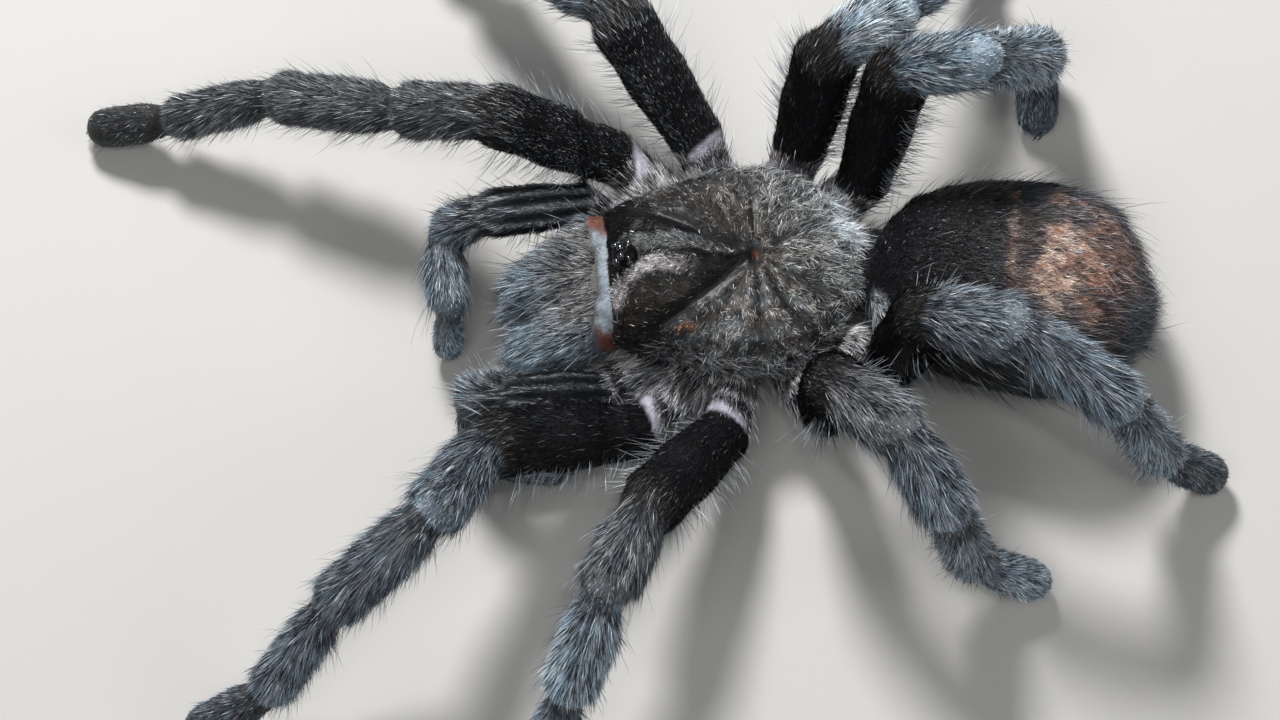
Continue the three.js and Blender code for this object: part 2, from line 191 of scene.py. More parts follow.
class TarantulaBody(bpy.types.PropertyGroup):
    """Sizes of the skin under the coat"""

    voxel: length_setting("Skin grain", "Size of the cells that the skin is fused from", 0.435)
    femur_depth: length_setting("Velvet depth", "Depth of the coat on the femora", 0.35)
    leg_depth: length_setting("Leg coat depth", "Depth of the coat on the outer leg", 0.50)
    tarsus_depth: length_setting("Foot coat depth", "Depth of the coat on the feet", 0.40)
    coxa_depth: length_setting("Coxa coat depth", "Depth of the coat on the coxae", 0.50)
    abdomen_depth: length_setting("Abdomen coat depth", "Depth of the abdomen's coat", 0.55)
    jaw_depth: length_setting("Jaw coat depth", "Depth of the coat on the chelicerae", 0.60)
    shield_depth: length_setting("Shield coat depth", "Depth of the shield's short hair", 0.35)
    membrane: length_setting("Neck membrane", "Width of the bare band before the shield", 1.35)


class TarantulaCoat(bpy.types.PropertyGroup):
    """Sizes of the hairs"""

    density: number_setting("Density", "Hairs on a square millimetre of outer leg", 128.0, min=1.0)
    velvet_density: number_setting(
        "Velvet density", "Short hairs on a square millimetre of velvet", 85.0, min=1.0
    )
    width: length_setting("Hair width", "Width of a hair at its root", 0.078)
    velvet: length_setting("Velvet", "Length of the femora's velvet", 0.75)
    leg: length_setting("Leg hair", "Length of the hair on patella, tibia and metatarsus", 1.75)
    foot: length_setting("Foot hair", "Length of the hair on the tarsi", 1.0)
    jaw: length_setting("Jaw hair", "Length of the hair on the chelicerae", 1.7)
    shield: length_setting("Shield hair", "Length of the hair on the carapace", 0.85)
    coxa: length_setting("Coxa hair", "Length of the hair on coxae and trochanters", 1.5)
    abdomen_front: length_setting("Front abdomen hair", "Length on the abdomen's front", 0.95)
    abdomen_rear: length_setting("Rear abdomen hair", "Length on the abdomen's rear", 2.3)
    bristle: length_setting("Bristle", "Length of a long bristle on the outer leg", 3.6)


class TarantulaColours(bpy.types.PropertyGroup):
    """Colours of skin, hair and horn"""

    velvet: colour_setting("Velvet black", "Femora and front of the abdomen", (0.006, 0.006, 0.007))
    slate: colour_setting("Slate", "Hair of the outer legs", (0.230, 0.312, 0.385))
    charcoal: colour_setting("Charcoal", "Roots of the leg hair", (0.010, 0.011, 0.014))
    umber: colour_setting("Umber", "Brown-grey hair of the shield", (0.210, 0.185, 0.165))
    silver: colour_setting("Silver", "Pale hair of fringes and tufts", (0.66, 0.72, 0.78))
    rust: colour_setting("Rust", "Patch on the abdomen's rear", (0.62, 0.40, 0.30))
    membrane: colour_setting("Membrane", "Bare skin at the joints", (0.36, 0.35, 0.41))
    horn: colour_setting("Horn", "Fangs and claws", (0.005, 0.004, 0.004))


class TarantulaStudio(bpy.types.PropertyGroup):
    """Camera, lights and floor"""

    azimuth: angle_setting("Azimuth", "Way round the animal that the camera stands", 1.66)
    elevation: angle_setting("Elevation", "Height of the camera above the horizon", 70.97)
    roll: angle_setting("Roll", "Turn of the camera about its own view", -6.11)
    distance: length_setting("Distance", "Distance from the camera to its aim", 460.4)
    lens: number_setting("Lens", "Focal length in mm, on a 36 mm wide sensor", 131.6, min=10.0)


SETTINGS = {
    "tarantula_body": TarantulaBody,
    "tarantula_coat": TarantulaCoat,
    "tarantula_colours": TarantulaColours,
    "tarantula_studio": TarantulaStudio,
}


def body_sizes():
    return bpy.context.scene.tarantula_body


def coat_sizes():
    return bpy.context.scene.tarantula_coat


def colour(name):
    """A colour setting as an array."""
    return np.array(getattr(bpy.context.scene.tarantula_colours, name)[:])


# ---- Arithmetic on many points at once ----------------------------------------------------------


def unit(vectors):
    """Vectors scaled to length one."""
    size = np.linalg.norm(vectors, axis=-1, keepdims=True)
    return vectors / np.maximum(size, 1e-12)


def dot(a, b):
    return (a * b).sum(-1, keepdims=True)


def flat_on(vectors, normals):
    """The part of each vector that lies along the surface, at length one."""
    return unit(vectors - dot(vectors, normals) * normals)


def ease(low, high, value):
    """Rises smoothly from 0 at low to 1 at high."""
    share = np.clip((value - low) / (high - low), 0.0, 1.0)
    return share * share * (3.0 - 2.0 * share)


def hump(value, middle, spread):
    """A smooth hump of height 1."""
    return np.exp(-(((value - middle) / spread) ** 2))


def mixed(first, second, share):
    """Mixes two colours, or arrays of them, by a share for each point."""
    share = np.asarray(share)[..., None]
    return first * (1.0 - share) + second * share


# A turn about an odd axis, so that no field lines up with the axes of space
OBLIQUE = np.array(Matrix.Rotation(math.radians(39), 3, Vector((0.48, 0.31, 0.82))))
# Large primes, by which a cell's place and the seed are mashed into a random number
CELL_PRIMES = (73856093, 19349663, 83492791)
SEED_PRIME = 7919
MASH_PRIME = 1274126177


def layered(shade, *layers):
    """Lays colours over a shade, each by its own share."""
    for tone, share in layers:
        shade = mixed(shade, tone, share)
    return shade


def grain(points, size, seed):
    """A smooth random field between 0 and 1, with features of about the given size."""
    coarse = one_grain(points @ OBLIQUE, size, seed)
    return 0.68 * coarse + 0.32 * one_grain(points @ OBLIQUE.T, size * 0.43, seed + 500)


def one_grain(points, size, seed):
    """One layer of a smooth random field."""
    place = points / size
    cell = np.floor(place).astype(np.int64)
    share = place - cell
    share = share * share * (3.0 - 2.0 * share)
    total = np.zeros(len(points))
    for corner in itertools.product((0, 1), repeat=3):
        x, y, z = ((cell + np.array(corner)) * CELL_PRIMES).T
        mash = x ^ y ^ z ^ seed * SEED_PRIME
        mash = (mash ^ (mash >> 13)) * MASH_PRIME & 0x7FFFFFFF
        value = ((mash ^ (mash >> 16)) & 0xFFFF) / 65535.0
        weight = np.where(np.array(corner), share, 1.0 - share).prod(1)
        total += weight * value
    return total


def only(rows, kept):
    """The chosen rows of every array in a dictionary."""
    return {key: value[kept] for key, value in rows.items()}


def near_line(points, start, end):
    """Share along a line from start to end, and distance from it."""
    along = end - start
    share = np.clip(((points - start) @ along) / (along @ along), 0.0, 1.0)
    return share, np.linalg.norm(points - start - share[:, None] * along, axis=1)


# ---- Reading the frame --------------------------------------------------------------------------


def merged_copy(node):
    """A node of the frame as one closed skin of shared corners."""
    mesh = bmesh.new()
    mesh.from_mesh(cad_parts[node].data)
    bmesh.ops.remove_doubles(mesh, verts=mesh.verts, dist=0.001 * MM)
    return mesh


def tree_of(node):
    mesh = merged_copy(node)
    tree = BVHTree.FromBMesh(mesh)
    mesh.free()
    return tree


def facing(node, other):
    """Middle of the corners with which one node faces another."""
    tree = tree_of(other)
    mesh = merged_copy(node)
    close = [v.co.copy() for v in mesh.verts if tree.find_nearest(v.co, 1.5 * GAP)[0] is not None]
    mesh.free()
    if not close:
        raise RuntimeError(f"{node} does not meet {other}")
    return sum(close, Vector()) / len(close)


class Limb:
    """One leg or palp: its segments and the joints that they turn on."""

    def __init__(self, kind, side):
        self.kind = kind
        self.side = side
        self.name = f"{kind}_{side}"
        self.segments = PALP_SEGMENTS if kind == "palp" else LEG_SEGMENTS
        self.nodes = [f"{self.name}_{segment}" for segment in self.segments]
        self.joints = np.array(self.find_joints())
        self.girths = [self.girth(i) for i in range(len(self.segments))]
        self.axes, self.across, self.upper = self.find_frames()

    def find_joints(self):
        joints = [facing(self.nodes[0], f"coxae_{self.side}")]
        for near, far in zip(self.nodes, self.nodes[1:]):
            joints.append((facing(near, far) + facing(far, near)) / 2)
        mesh = merged_copy(self.nodes[-1])
        tip = max((v.co for v in mesh.verts), key=lambda at: (at - joints[-1]).length)
        radius = PALP_FOOT if self.kind == "palp" else LEG_FOOT
        joints.append(joints[-1] + (tip - joints[-1]) * (1 - radius / (tip - joints[-1]).length))
        joints[-1].z = max(joints[-1].z, radius)
        mesh.free()
        return joints

    def coxa_root(self):
        """Inner end of the coxa, at the edge of the sternum."""
        low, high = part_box("sternum")
        x = low.x + (high.x - low.x) * COXA_SHARES[self.kind]
        middle = (low.y + high.y) / 2
        return np.array((x, middle + SIDES[self.side] * COXA_ROOT_OUT, (low.z + high.z) / 2))

    def girth(self, i):
        """Outer radius of a segment near its two ends and at its middle."""
        tree = tree_of(self.nodes[i])
        start, end = Vector(self.joints[i]), Vector(self.joints[i + 1])
        across = (end - start).orthogonal().normalized()
        radii = []
        for share in GIRTH_STATIONS:
            found = []
            for turn in range(8):
                ray = Matrix.Rotation(turn * math.tau / 8, 3, end - start) @ across
                hit = tree.ray_cast(start.lerp(end, share), ray, 8 * MM)
                if hit[0] is not None:
                    found.append(hit[3])
            radii.append(float(np.median(found)))
        return radii

    def find_frames(self):
        """Directions of each segment: along its axis, to its side and to its upper face."""
        reach = self.joints[-1] - self.joints[0]
        sideways = np.cross((0.0, 0.0, 1.0), (reach[0], reach[1], 0.0))
        frames = []
        for start, end in zip(self.joints, self.joints[1:]):
            axis = unit(end - start)
            across = unit(sideways - (sideways @ axis) * axis)
            frames.append((axis, across, np.cross(axis, across)))
        return [np.array(directions) for directions in zip(*frames)]

    def fields(self, points):
        """Where points lie on the limb: segment, distance from its joints, and way round it."""
        count = len(self.segments)
        shares = np.empty((count, len(points)))
        gaps = np.empty((count, len(points)))
        for i in range(count):
            shares[i], gaps[i] = near_line(points, self.joints[i], self.joints[i + 1])
        which = gaps.argmin(0)
        row = np.arange(len(points))
        share = shares[which, row]
        spans = np.diff(self.joints, axis=0)
        lengths = np.linalg.norm(spans, axis=1)
        past = np.roll(self.axes, -1, 0)
        past[-1] = self.axes[-1]
        before = np.roll(self.axes, 1, 0)
        before[0] = self.axes[0]
        from_near = share * lengths[which]
        to_far = (1 - share) * lengths[which]
        near_pull = 0.5 * (1 - ease(0.0, JOINT_BLEND, from_near))[:, None]
        far_pull = 0.5 * (1 - ease(0.0, JOINT_BLEND, to_far))[:, None]
        own = self.axes[which] * (1 - near_pull - far_pull)
        heading = unit(own + before[which] * near_pull + past[which] * far_pull)
        spoke = points - (self.joints[:-1][which] + share[:, None] * spans[which])
        sideways = (spoke * self.across[which]).sum(1)
        upwards = (spoke * self.upper[which]).sum(1)
        around = np.degrees(np.arctan2(sideways, upwards))
        behind = (points - self.joints[0]) @ self.axes[0]
        return {
            "which": which,
            "near": np.where(which == 0, np.maximum(behind, -9.0), from_near),
            "far": to_far,
            "heading": heading,
            "around": around,
        }


LIMBS = [Limb(kind, side) for side in SIDES for kind in LIMB_KINDS]


class Shield:
    """Local places on the carapace, as shares of its length and half width."""

    low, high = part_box("carapace")
    length = high.x - low.x
    half = (high.y - low.y) / 2
    middle = (high.y + low.y) / 2

    @classmethod
    def edge(cls, along):
        """Half width of the outline, as a share, at each share of the length."""
        mesh = merged_copy("carapace")
        corners = cls.local(np.array([v.co for v in mesh.verts]))
        mesh.free()
        stations = np.linspace(0.0, 1.0, 25)
        near = np.abs(corners[:, None, 0] - stations) < 0.035
        wide = (near * np.abs(corners[:, None, 1])).max(0)
        found = wide > 0
        return np.interp(along, stations[found], wide[found])

    @classmethod
    def local(cls, points):
        return np.stack(
            ((points[:, 0] - cls.low.x) / cls.length, (points[:, 1] - cls.middle) / cls.half), 1
        )

    @classmethod
    def place(cls, along, across, height):
        return np.array((cls.low.x + along * cls.length, cls.middle + across * cls.half, height))


class Abdomen:
    """Local places on the abdomen, along an axis swung to the spider's left."""

    turn = math.radians(-13)
    axis = np.array((math.cos(turn), math.sin(turn), 0.0))
    across = np.array((-math.sin(turn), math.cos(turn), 0.0))
    sternum_low, sternum_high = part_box("sternum")
    root = np.array((Shield.high.x, (sternum_low.y + sternum_high.y) / 2, 9.0 * MM))
    length = 29.0 * MM
    half = 10.8 * MM

    @classmethod
    def local(cls, points):
        away = points - cls.root
        return np.stack(
            (away @ cls.axis / cls.length, away @ cls.across / cls.half, away[:, 2] / cls.half), 1
        )


# ---- Markings, with painted light and shade, shared by skin and coat ----------------------------


def off_line(local, line, body):
    """Distance from a bent line of shares of length and half width, in shares of the half width."""
    stretch = body.length / body.half
    flat = np.stack((local[:, 0] * stretch, local[:, 1], np.zeros(len(local))), 1)
    turns = [np.array((a * stretch, b, 0.0)) for a, b in line]
    gaps = [near_line(flat, start, end)[1] for start, end in zip(turns, turns[1:])]
    return np.min(gaps, axis=0)


def neck_line(local):
    """Distance from the neck grooves in shares of the half width, and whether a point is ahead."""
    across = np.abs(local[:, 1] + GROOVE_LEAN * ease(0.57, 0.40, local[:, 0]))
    gap = off_line(np.stack((local[:, 0], across), 1), GROOVE, Shield)
    edge = np.interp(across, [b for _, b in GROOVE], [a for a, _ in GROOVE])
    return gap, ease(-0.015, 0.015, edge - local[:, 0])


def tuft_share(points):
    """White tufts that show behind the shield, on both sides of the waist."""
    share = np.zeros(len(points))
    for along, across, height, reach in TUFTS:
        away = np.linalg.norm(points - Shield.place(along, across, height), axis=1)
        share = np.maximum(share, ease(reach, 0.6 * reach, away))
    return share


def around_pit(local):
    """Angle from straight back about the shield's pit, and millimetres from the pit."""
    along = (local[:, 0] - FOVEA[0]) * Shield.length
    across = local[:, 1] * Shield.half
    return np.arctan2(np.abs(across), along), np.hypot(along, across) / MM


def rays(spokes, spread, turn=0):
    """Smooth rays about the pit, at the angles of the radial grooves and a turn further."""
    return sum(hump(spokes, math.radians(a + turn), spread) for a in RADIAL)


def shield_marks(points):
    """Markings of the carapace: black cheeks, silvery crest, brown-grey field and paler rear, with
    painted shade in its grooves and a painted highlight beside each radial groove.
    """
    local = Shield.local(points)
    gap, ahead = neck_line(local)
    along, across = local[:, 0], local[:, 1]
    outer = np.abs(across) / Shield.edge(along)
    cloud = grain(points, 1.5 * MM, 3)
    ragged = grain(points, 0.5 * MM, 4)
    shift = np.stack((along + 0.03 * (ragged - 0.5), across + 0.09 * (cloud - 0.5)), 1)
    right_streak = ease(0.095, 0.045, off_line(shift, RIGHT_STREAK, Shield))
    right_streak = right_streak * ease(0.60, 0.40, along)
    left_streak = ease(0.11, 0.045, off_line(shift, LEFT_STREAK, Shield))
    left_streak = left_streak * ease(0.42, 0.20, along)
    crest = ahead * np.maximum(left_streak, 0.75 * right_streak) * ease(0.10, 0.40, ragged)
    gold = ahead * right_streak
    flat = (along - FOVEA[0], across * Shield.half / Shield.length, np.zeros(len(along)))
    away = np.linalg.norm(np.stack(flat, 1), axis=1)
    polar = np.stack((6.5 * np.arctan2(flat[1], flat[0]), 9.0 * away), 1)
    streaks = grain(np.pad(polar, ((0, 0), (0, 1))), 1.0, 17)
    rear = ease(0.62, 0.95, along + 0.16 * (cloud - 0.5) + 0.22 * across)
    rim = np.maximum(ease(0.84, 0.97, outer), ease(0.95, 1.0, along)) * ease(0.10, 0.25, along)
    spokes, away = around_pit(local)
    furrows = rays(spokes, 0.10) * (1 - ahead)
    # A painted highlight on one lip of each radial groove
    ridge_highlights = rays(spokes, 0.09, 17) * (1 - ahead)
    fade = ease(0.8, 2.5, away) * ease(11.0, 7.0, away)
    return {
        "crest": crest,
        "gold": np.clip(gold - left_streak, 0, 1),
        "streaks": ease(0.42, 0.70, streaks) * (1 - ahead),
        "cheeks": ahead * (1 - crest),
        "rear": rear,
        "rim": rim,
        "groove": np.maximum(hump(gap, 0.0, 0.05 + 0.03 * (1 - ahead)), furrows * fade * 0.7),
        "ridge_highlight": ridge_highlights * fade,
        "cloud": cloud,
    }


def shield_colour(points, marks):
    across = Shield.local(points)[:, 1]
    bluish = ease(0.45, 0.85, marks["cloud"] - 0.25 * across)
    shade = mixed(colour("umber") * 0.80, colour("slate") * (0.72, 0.56, 0.47), bluish)
    # Painted light and shade: lighter towards the spider's left and darker towards its right, away
    # from the rear, with a painted highlight beside each radial groove; the streaks are the hair's
    # own tone
    lit = (0.46 + 1.0 * marks["streaks"] + 0.4 * marks["ridge_highlight"]) * (1.0 - 0.30 * across)
    lit = lit * (1.0 - 0.30 * ease(0.0, 0.3, across) * (1 - marks["rear"]))
    shade = shade * lit[:, None]
    silk = mixed(colour("silver") * 0.48, colour("silver") * (0.45, 0.42, 0.36), marks["cloud"])
    dark = mixed(colour("velvet") * 1.2, colour("umber") * 0.13, ease(0.0, -0.35, across))
    silver, gold = colour("silver") * (0.78, 0.66, 0.62), colour("silver") * (0.27, 0.27, 0.25)
    speck = Shield.place(0.31, -0.63, 0.0) - points
    speck = np.hypot(speck[:, 0] / (1.1 * MM), speck[:, 1] / (0.45 * MM))
    pit = np.linalg.norm((points - Shield.place(*FOVEA, 0.0))[:, :2] - (0.0, 0.3 * MM), axis=1)
    return layered(
        shade,
        (silk, 0.75 * marks["rear"]),
        (colour("silver") * 0.45, 0.6 * marks["rim"]),
        (dark, marks["cheeks"]),
        (mixed(silver, gold, marks["gold"]), marks["crest"]),
        # The neck and radial grooves are painted charcoal: painted shade in the furrows
        (colour("charcoal"), 0.85 * marks["groove"]),
        (colour("rust") * (0.62, 0.42, 0.26), 0.8 * ease(1.3, 0.5, speck)),
        (colour("rust") * (0.40, 0.26, 0.18), ease(0.50 * MM, 0.25 * MM, pit)),
        (colour("silver") * (0.98, 1.06, 1.12), 0.75 * tuft_share(points)),
    )


def rust_share(points):
    """Shares of salmon and of dull brown: a worn patch on the abdomen's rear, with its lines."""
    local = Abdomen.local(points)
    along, across, height = local[:, 0], local[:, 1], local[:, 2]
    ragged = grain(points, 1.4 * MM, 11)
    worn = grain(points, 0.55 * MM, 13)
    round_patch = np.hypot((along - 0.725 - 0.03 * across) / 0.15, (across + 0.04) / 0.54)
    patch = ease(1.3, 0.8, round_patch + 1.5 * (ragged - 0.5))
    patch = patch * (0.35 + 0.65 * ease(0.25, 0.55, worn))
    gap = off_line(local, RUST_ARC, Abdomen)
    arc = hump(gap, 0.0, 0.12) * ease(0.30, 0.5, worn)
    line = hump(along + 0.03 * across, 0.505, 0.013) * ease(0.62, 0.50, np.abs(across - 0.12))
    line = line * ease(0.30, 0.5, worn)
    above = ease(0.0, 0.3, height)
    salmon = np.clip(np.maximum(patch, np.maximum(0.9 * arc, 0.6 * line)), 0, 1) * above
    brown = ease(0.48, 0.52, along) * ease(0.92, 0.84, along)
    brown = brown * ease(0.75, 0.5, np.abs(across + 0.1))
    return salmon, brown * above * (1 - salmon)


def abdomen_colour(points):
    local = Abdomen.local(points)
    rear = ease(0.42, 0.62, local[:, 0] + 0.1 * (grain(points, 2.2 * MM, 5) - 0.5))
    below = ease(0.1, -0.6, local[:, 2])
    salmon, brown = rust_share(points)
    front = ease(0.80, 0.68, local[:, 0]) * ease(0.62, 0.50, np.abs(local[:, 1] + 0.05))
    dusty = ease(0.25, 0.75, grain(points, 0.8 * MM, 15)) * (0.30 + 0.70 * front)
    worn = mixed(colour("rust") * (0.66, 0.46, 0.38), colour("rust") * (1.45, 1.75, 1.85), dusty)
    return layered(
        mixed(colour("velvet") * 2.0, colour("slate") * 0.36, rear),
        (colour("slate") * 0.3, 0.6 * below),
        (colour("rust") * (0.15, 0.11, 0.10), 0.6 * brown),
        (worn, salmon),
        (colour("silver") * 1.6, tuft_share(points)),
    )


def band_share(points):
    """The bare band of skin between jaws and shield."""
    ahead = Shield.low.x - points[:, 0]
    ragged = 0.55 * grain(points, 2.6 * MM, 9) + 0.45 * grain(points, 0.6 * MM, 10)
    ends = ease(1.0 * MM, 5.0 * MM, np.abs(points[:, 1] - Shield.middle))
    width = body_sizes().membrane * (0.12 + 0.7 * ragged + 0.48 * ends)
    inside = ease(width * 1.08, width * 0.92, ahead) * ease(-0.8 * MM, -0.6 * MM, ahead)
    return inside * ease(8.5 * MM, 9.5 * MM, points[:, 2])


def jaw_colour(points):
    ahead = (Shield.low.x - points[:, 0]) / MM
    outer = np.abs(points[:, 1] - Shield.middle) / MM
    brown = ease(8.0, 2.0, ahead) * ease(8.0, 4.0, outer)
    cloudy = 0.65 + 0.7 * grain(points, 1.8 * MM, 71)
    return mixed(colour("slate"), colour("umber") * 1.1, brown * 0.85) * cloudy[:, None]


def rusty_ends(points):
    """The two ends of the bare band."""
    ragged = 0.12 * (grain(points, 0.7 * MM, 7) - 0.5)
    across = (points[:, 1] - Shield.middle) / Shield.half + ragged
    across = across + 0.05 * (points[:, 0] - Shield.low.x) / MM
    return np.maximum(ease(0.36, 0.43, across), ease(-0.50, -0.57, across))


def band_colour(points):
    """Blue-grey across the middle, rusty at both ends, with fine slanting creases."""
    ends = rusty_ends(points)
    tone = mixed(colour("membrane") * (0.86, 1.04, 1.02), colour("rust") * (0.30, 0.17, 0.14), ends)
    slant = points[:, 1] + 0.8 * points[:, 0]
    stripes = 0.5 + 0.5 * np.sin(slant / (0.045 * MM) + 5 * grain(points, 0.8 * MM, 8))
    patches = grain(points, 1.3 * MM, 6)
    return tone * (0.10 + 0.70 * patches + 0.40 * stripes)[:, None]


def limb_marks(limb, fields):
    """Bare places of a limb: joint rings, the crescent at its base, knee spots, patella stripes."""
    which, near, far = fields["which"], fields["near"] / MM, fields["far"] / MM
    around = np.abs(fields["around"])
    last = len(limb.segments) - 1
    ring = np.where(which > 0, hump(near, 0.0, 0.30), 0.0)
    ring = np.maximum(ring, np.where(which < last, hump(far, 0.0, 0.30), 0.0))
    crescent = ease(-0.8, -0.4, near) * ease(0.95, 0.65, near + 0.8 * (around / 70) ** 2)
    crescent = np.where(which == 0, crescent * ease(72, 48, around), 0.0)
    crescent = crescent * CRESCENTS.get(limb.name, 0)
    knee = np.where(which == 0, far, np.where(which == 1, near, 9.0))
    spots = 0.9 * hump(knee, 0.1, 0.45) * hump(around, 90, 11)
    stripes = np.where(which == 1, hump(around, 24, 5.0), 0.0)
    stripes = stripes * ease(1.2, 2.2, near) * ease(0.8, 2.0, far)
    return {"ring": ring, "crescent": crescent, "spots": spots, "stripes": stripes}


def crescent_share(points):
    """The bare crescents at the bases of all legs."""
    share = np.zeros(len(points))
    for limb in LIMBS:
        close = np.flatnonzero(np.linalg.norm(points - limb.joints[0], axis=1) < 4.5 * MM)
        if limb.kind != "palp" and len(close):
            marks = limb_marks(limb, limb.fields(points[close]))
            share[close] = np.maximum(share[close], marks["crescent"])
    return share


def limb_colour(limb, fields, points):
    """Colour of the hair tips on a limb: paler towards the far end of each segment, with painted
    shade at its near end and painted light and shade on whole limbs and segments.
    """
    which, around = fields["which"], fields["around"]
    cloud = grain(points, 2.0 * MM, 21)
    far, near = fields["far"] / MM, fields["near"] / MM
    numbers = range(len(limb.segments))
    last = which == numbers[-1]
    # A limb's paleness is painted light and shade; brown is how far it turns from slate to umber
    tone, brown = LIMB_LIGHT_AND_TONES.get(limb.name, (1.0, 0.0))
    # Painted shade darkens each segment at the joint where it starts, and a paler rim lies at its
    # far end
    end_shade_and_rim = 0.34 + 0.66 * ease(0.0, 3.8, near) + 0.55 * ease(2.0, 0.4, far) * ~last
    # The feet of some legs are painted dark: painted shade
    feet = np.where(last, 0.45 if limb.name in SHADED_FEET else 1.5, np.where(which == 1, 0.9, 1.12))
    browner = BROWN_SEGMENTS.get(limb.name, {})
    brown = np.array([browner.get(i, brown) for i in numbers])[which]
    base = mixed(colour("slate"), colour("umber"), brown)
    # A segment's paleness: partly its own tone, partly painted light and shade
    own = np.array([SEGMENT_LIGHT_AND_TONES.get((limb.name, i), 1.0) for i in numbers])[which]
    slate = base * tone * ((0.70 + 0.60 * cloud) * end_shade_and_rim * feet * own)[:, None]
    warm = mixed(slate, colour("umber") * 1.1 * tone, 0.35 * hump(np.abs(around), 28, 14))
    shade = np.where((which == 0)[:, None], colour("velvet") * 1.6, warm)
    dark_line = (which > 0) * hump(np.abs(around), 0, 10)
    shade = mixed(shade, colour("charcoal") * 2, 0.5 * dark_line)
    if limb.kind == "palp":
        rows = sum(hump(around, row, 7) for row in (-78, -38, 0, 38, 78)) * ease(0.0, 1.0, near + 1)
        rows = np.clip(rows, 0, 1) * (0.45 if limb.side == "left" else 1.0)
        striped = mixed(colour("charcoal") * 1.2, colour("silver") * 0.75 * tone, rows)
        share = np.where(which == 0, 1.0, np.where(which == 1, ease(3.0, 0.5, near), 0.0))
        shade = mixed(shade, striped, share)
    return shade


# ---- Region of each face of the skin ------------------------------------------------------------


def region_of_node(node):
    for limb in LIMBS:
        if node.startswith(limb.name):
            return limb.name
    if node.startswith(("chelicera", "fang")):
        return "jaws"
    if node.startswith(("spinneret", "abdomen")):
        return "abdomen"
    if node in ("carapace", "eye_mound"):
        return "neck"
    return "underside"


def region_tree():
    """One search tree over all nodes of the frame, and the region of each of its faces."""
    corners, faces, regions = [], [], []
    for node in sorted(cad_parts):
        mesh = merged_copy(node)
        start = len(corners)
        corners.extend(v.co.copy() for v in mesh.verts)
        faces.extend([start + v.index for v in f.verts] for f in mesh.faces)
        regions.extend([region_of_node(node)] * len(mesh.faces))
        mesh.free()
    return BVHTree.FromPolygons(corners, faces), regions


# ---- Mesh helpers -------------------------------------------------------------------------------


def object_from(mesh, name):
    """Puts a bmesh or a mesh into a new object of the scene."""
    if isinstance(mesh, bmesh.types.BMesh):
        data = bpy.data.meshes.new(name)
        mesh.to_mesh(data)
        mesh.free()
    else:
        data = mesh
        data.name = name
    made = bpy.data.objects.new(name, data)
    bpy.context.scene.collection.objects.link(made)
    return made


def with_modifiers_applied(piece):
    """Replaces an object's mesh by what its modifiers make of it."""
    bpy.context.view_layer.update()
    graph = bpy.context.evaluated_depsgraph_get()
    mesh = bpy.data.meshes.new_from_object(piece.evaluated_get(graph))
    old = piece.data
    piece.modifiers.clear()
    piece.data = mesh
    bpy.data.meshes.remove(old)
    return piece


def fuse(piece, voxel, smoothing):
    """Fuses overlapping closed shapes into one even skin."""
    remesh = piece.modifiers.new("fuse", "REMESH")
    remesh.mode = "VOXEL"
    remesh.voxel_size = voxel
    soften = piece.modifiers.new("soften", "SMOOTH")
    soften.factor = 0.5
    soften.iterations = smoothing
    return with_modifiers_applied(piece)


def values_of(items, key, kind=np.int32, width=1):
    """One value, or a row of them, for each item of a mesh."""
    flat = np.empty(len(items) * width, kind)
    items.foreach_get(key, flat)
    return flat if width == 1 else flat.reshape(-1, width)


def corners_of(mesh):
    return values_of(mesh.vertices, "co", np.float32, 3).astype(float)


def normals_of(mesh):
    return values_of(mesh.vertex_normals, "vector", np.float32, 3).astype(float)


def set_corners(mesh, points):
    mesh.vertices.foreach_set("co", points.astype(np.float32).ravel())
    mesh.update()


def paint(mesh, colours):
    """Stores a colour for each corner."""
    layer = mesh.color_attributes.new(name=MARKING, type="FLOAT_COLOR", domain="POINT")
    filled = np.ones((len(mesh.vertices), 4), np.float32)
    filled[:, :3] = np.clip(colours, 0.0, 1.0)
    layer.data.foreach_set("color", filled.ravel())


def absorb(target, source):
    """Moves one bmesh into another."""
    passing = bpy.data.meshes.new("passing")
    source.to_mesh(passing)
    source.free()
    target.from_mesh(passing)
    bpy.data.meshes.remove(passing)


def add_lathe(target, profile, start, end, sides):
    """Adds a closed turned shape whose profile (radius, height) runs from start towards end."""
    turned = bmesh.new()
    chain = [turned.verts.new((radius, 0.0, height)) for radius, height in profile]
    edges = [turned.edges.new(pair) for pair in zip(chain, chain[1:])]
    turning = {"cent": (0, 0, 0), "axis": (0, 0, 1), "angle": math.tau, "steps": sides}
    bmesh.ops.spin(turned, geom=chain + edges, use_merge=True, **turning)
    bmesh.ops.remove_doubles(turned, verts=turned.verts, dist=0.002 * MM)
    bmesh.ops.recalc_face_normals(turned, faces=turned.faces)
    turn = (Vector(end) - Vector(start)).to_track_quat("Z", "Y").to_matrix().to_4x4()
    bmesh.ops.transform(turned, matrix=Matrix.Translation(start) @ turn, verts=turned.verts)
    absorb(target, turned)


def add_ball(target, centre, radii):
    place = Matrix.Translation(centre) @ Matrix.Diagonal((*radii, 1.0))
    bmesh.ops.create_uvsphere(target, u_segments=24, v_segments=16, radius=1.0, matrix=place)


def add_shrunk_node(target, node, depth):
    """Adds a node of the frame, drawn in by the depth of its coat."""
    mesh = merged_copy(node)
    mesh.normal_update()
    for corner in mesh.verts:
        corner.co -= corner.normal * depth
    absorb(target, mesh)


# ---- Materials ----------------------------------------------------------------------------------


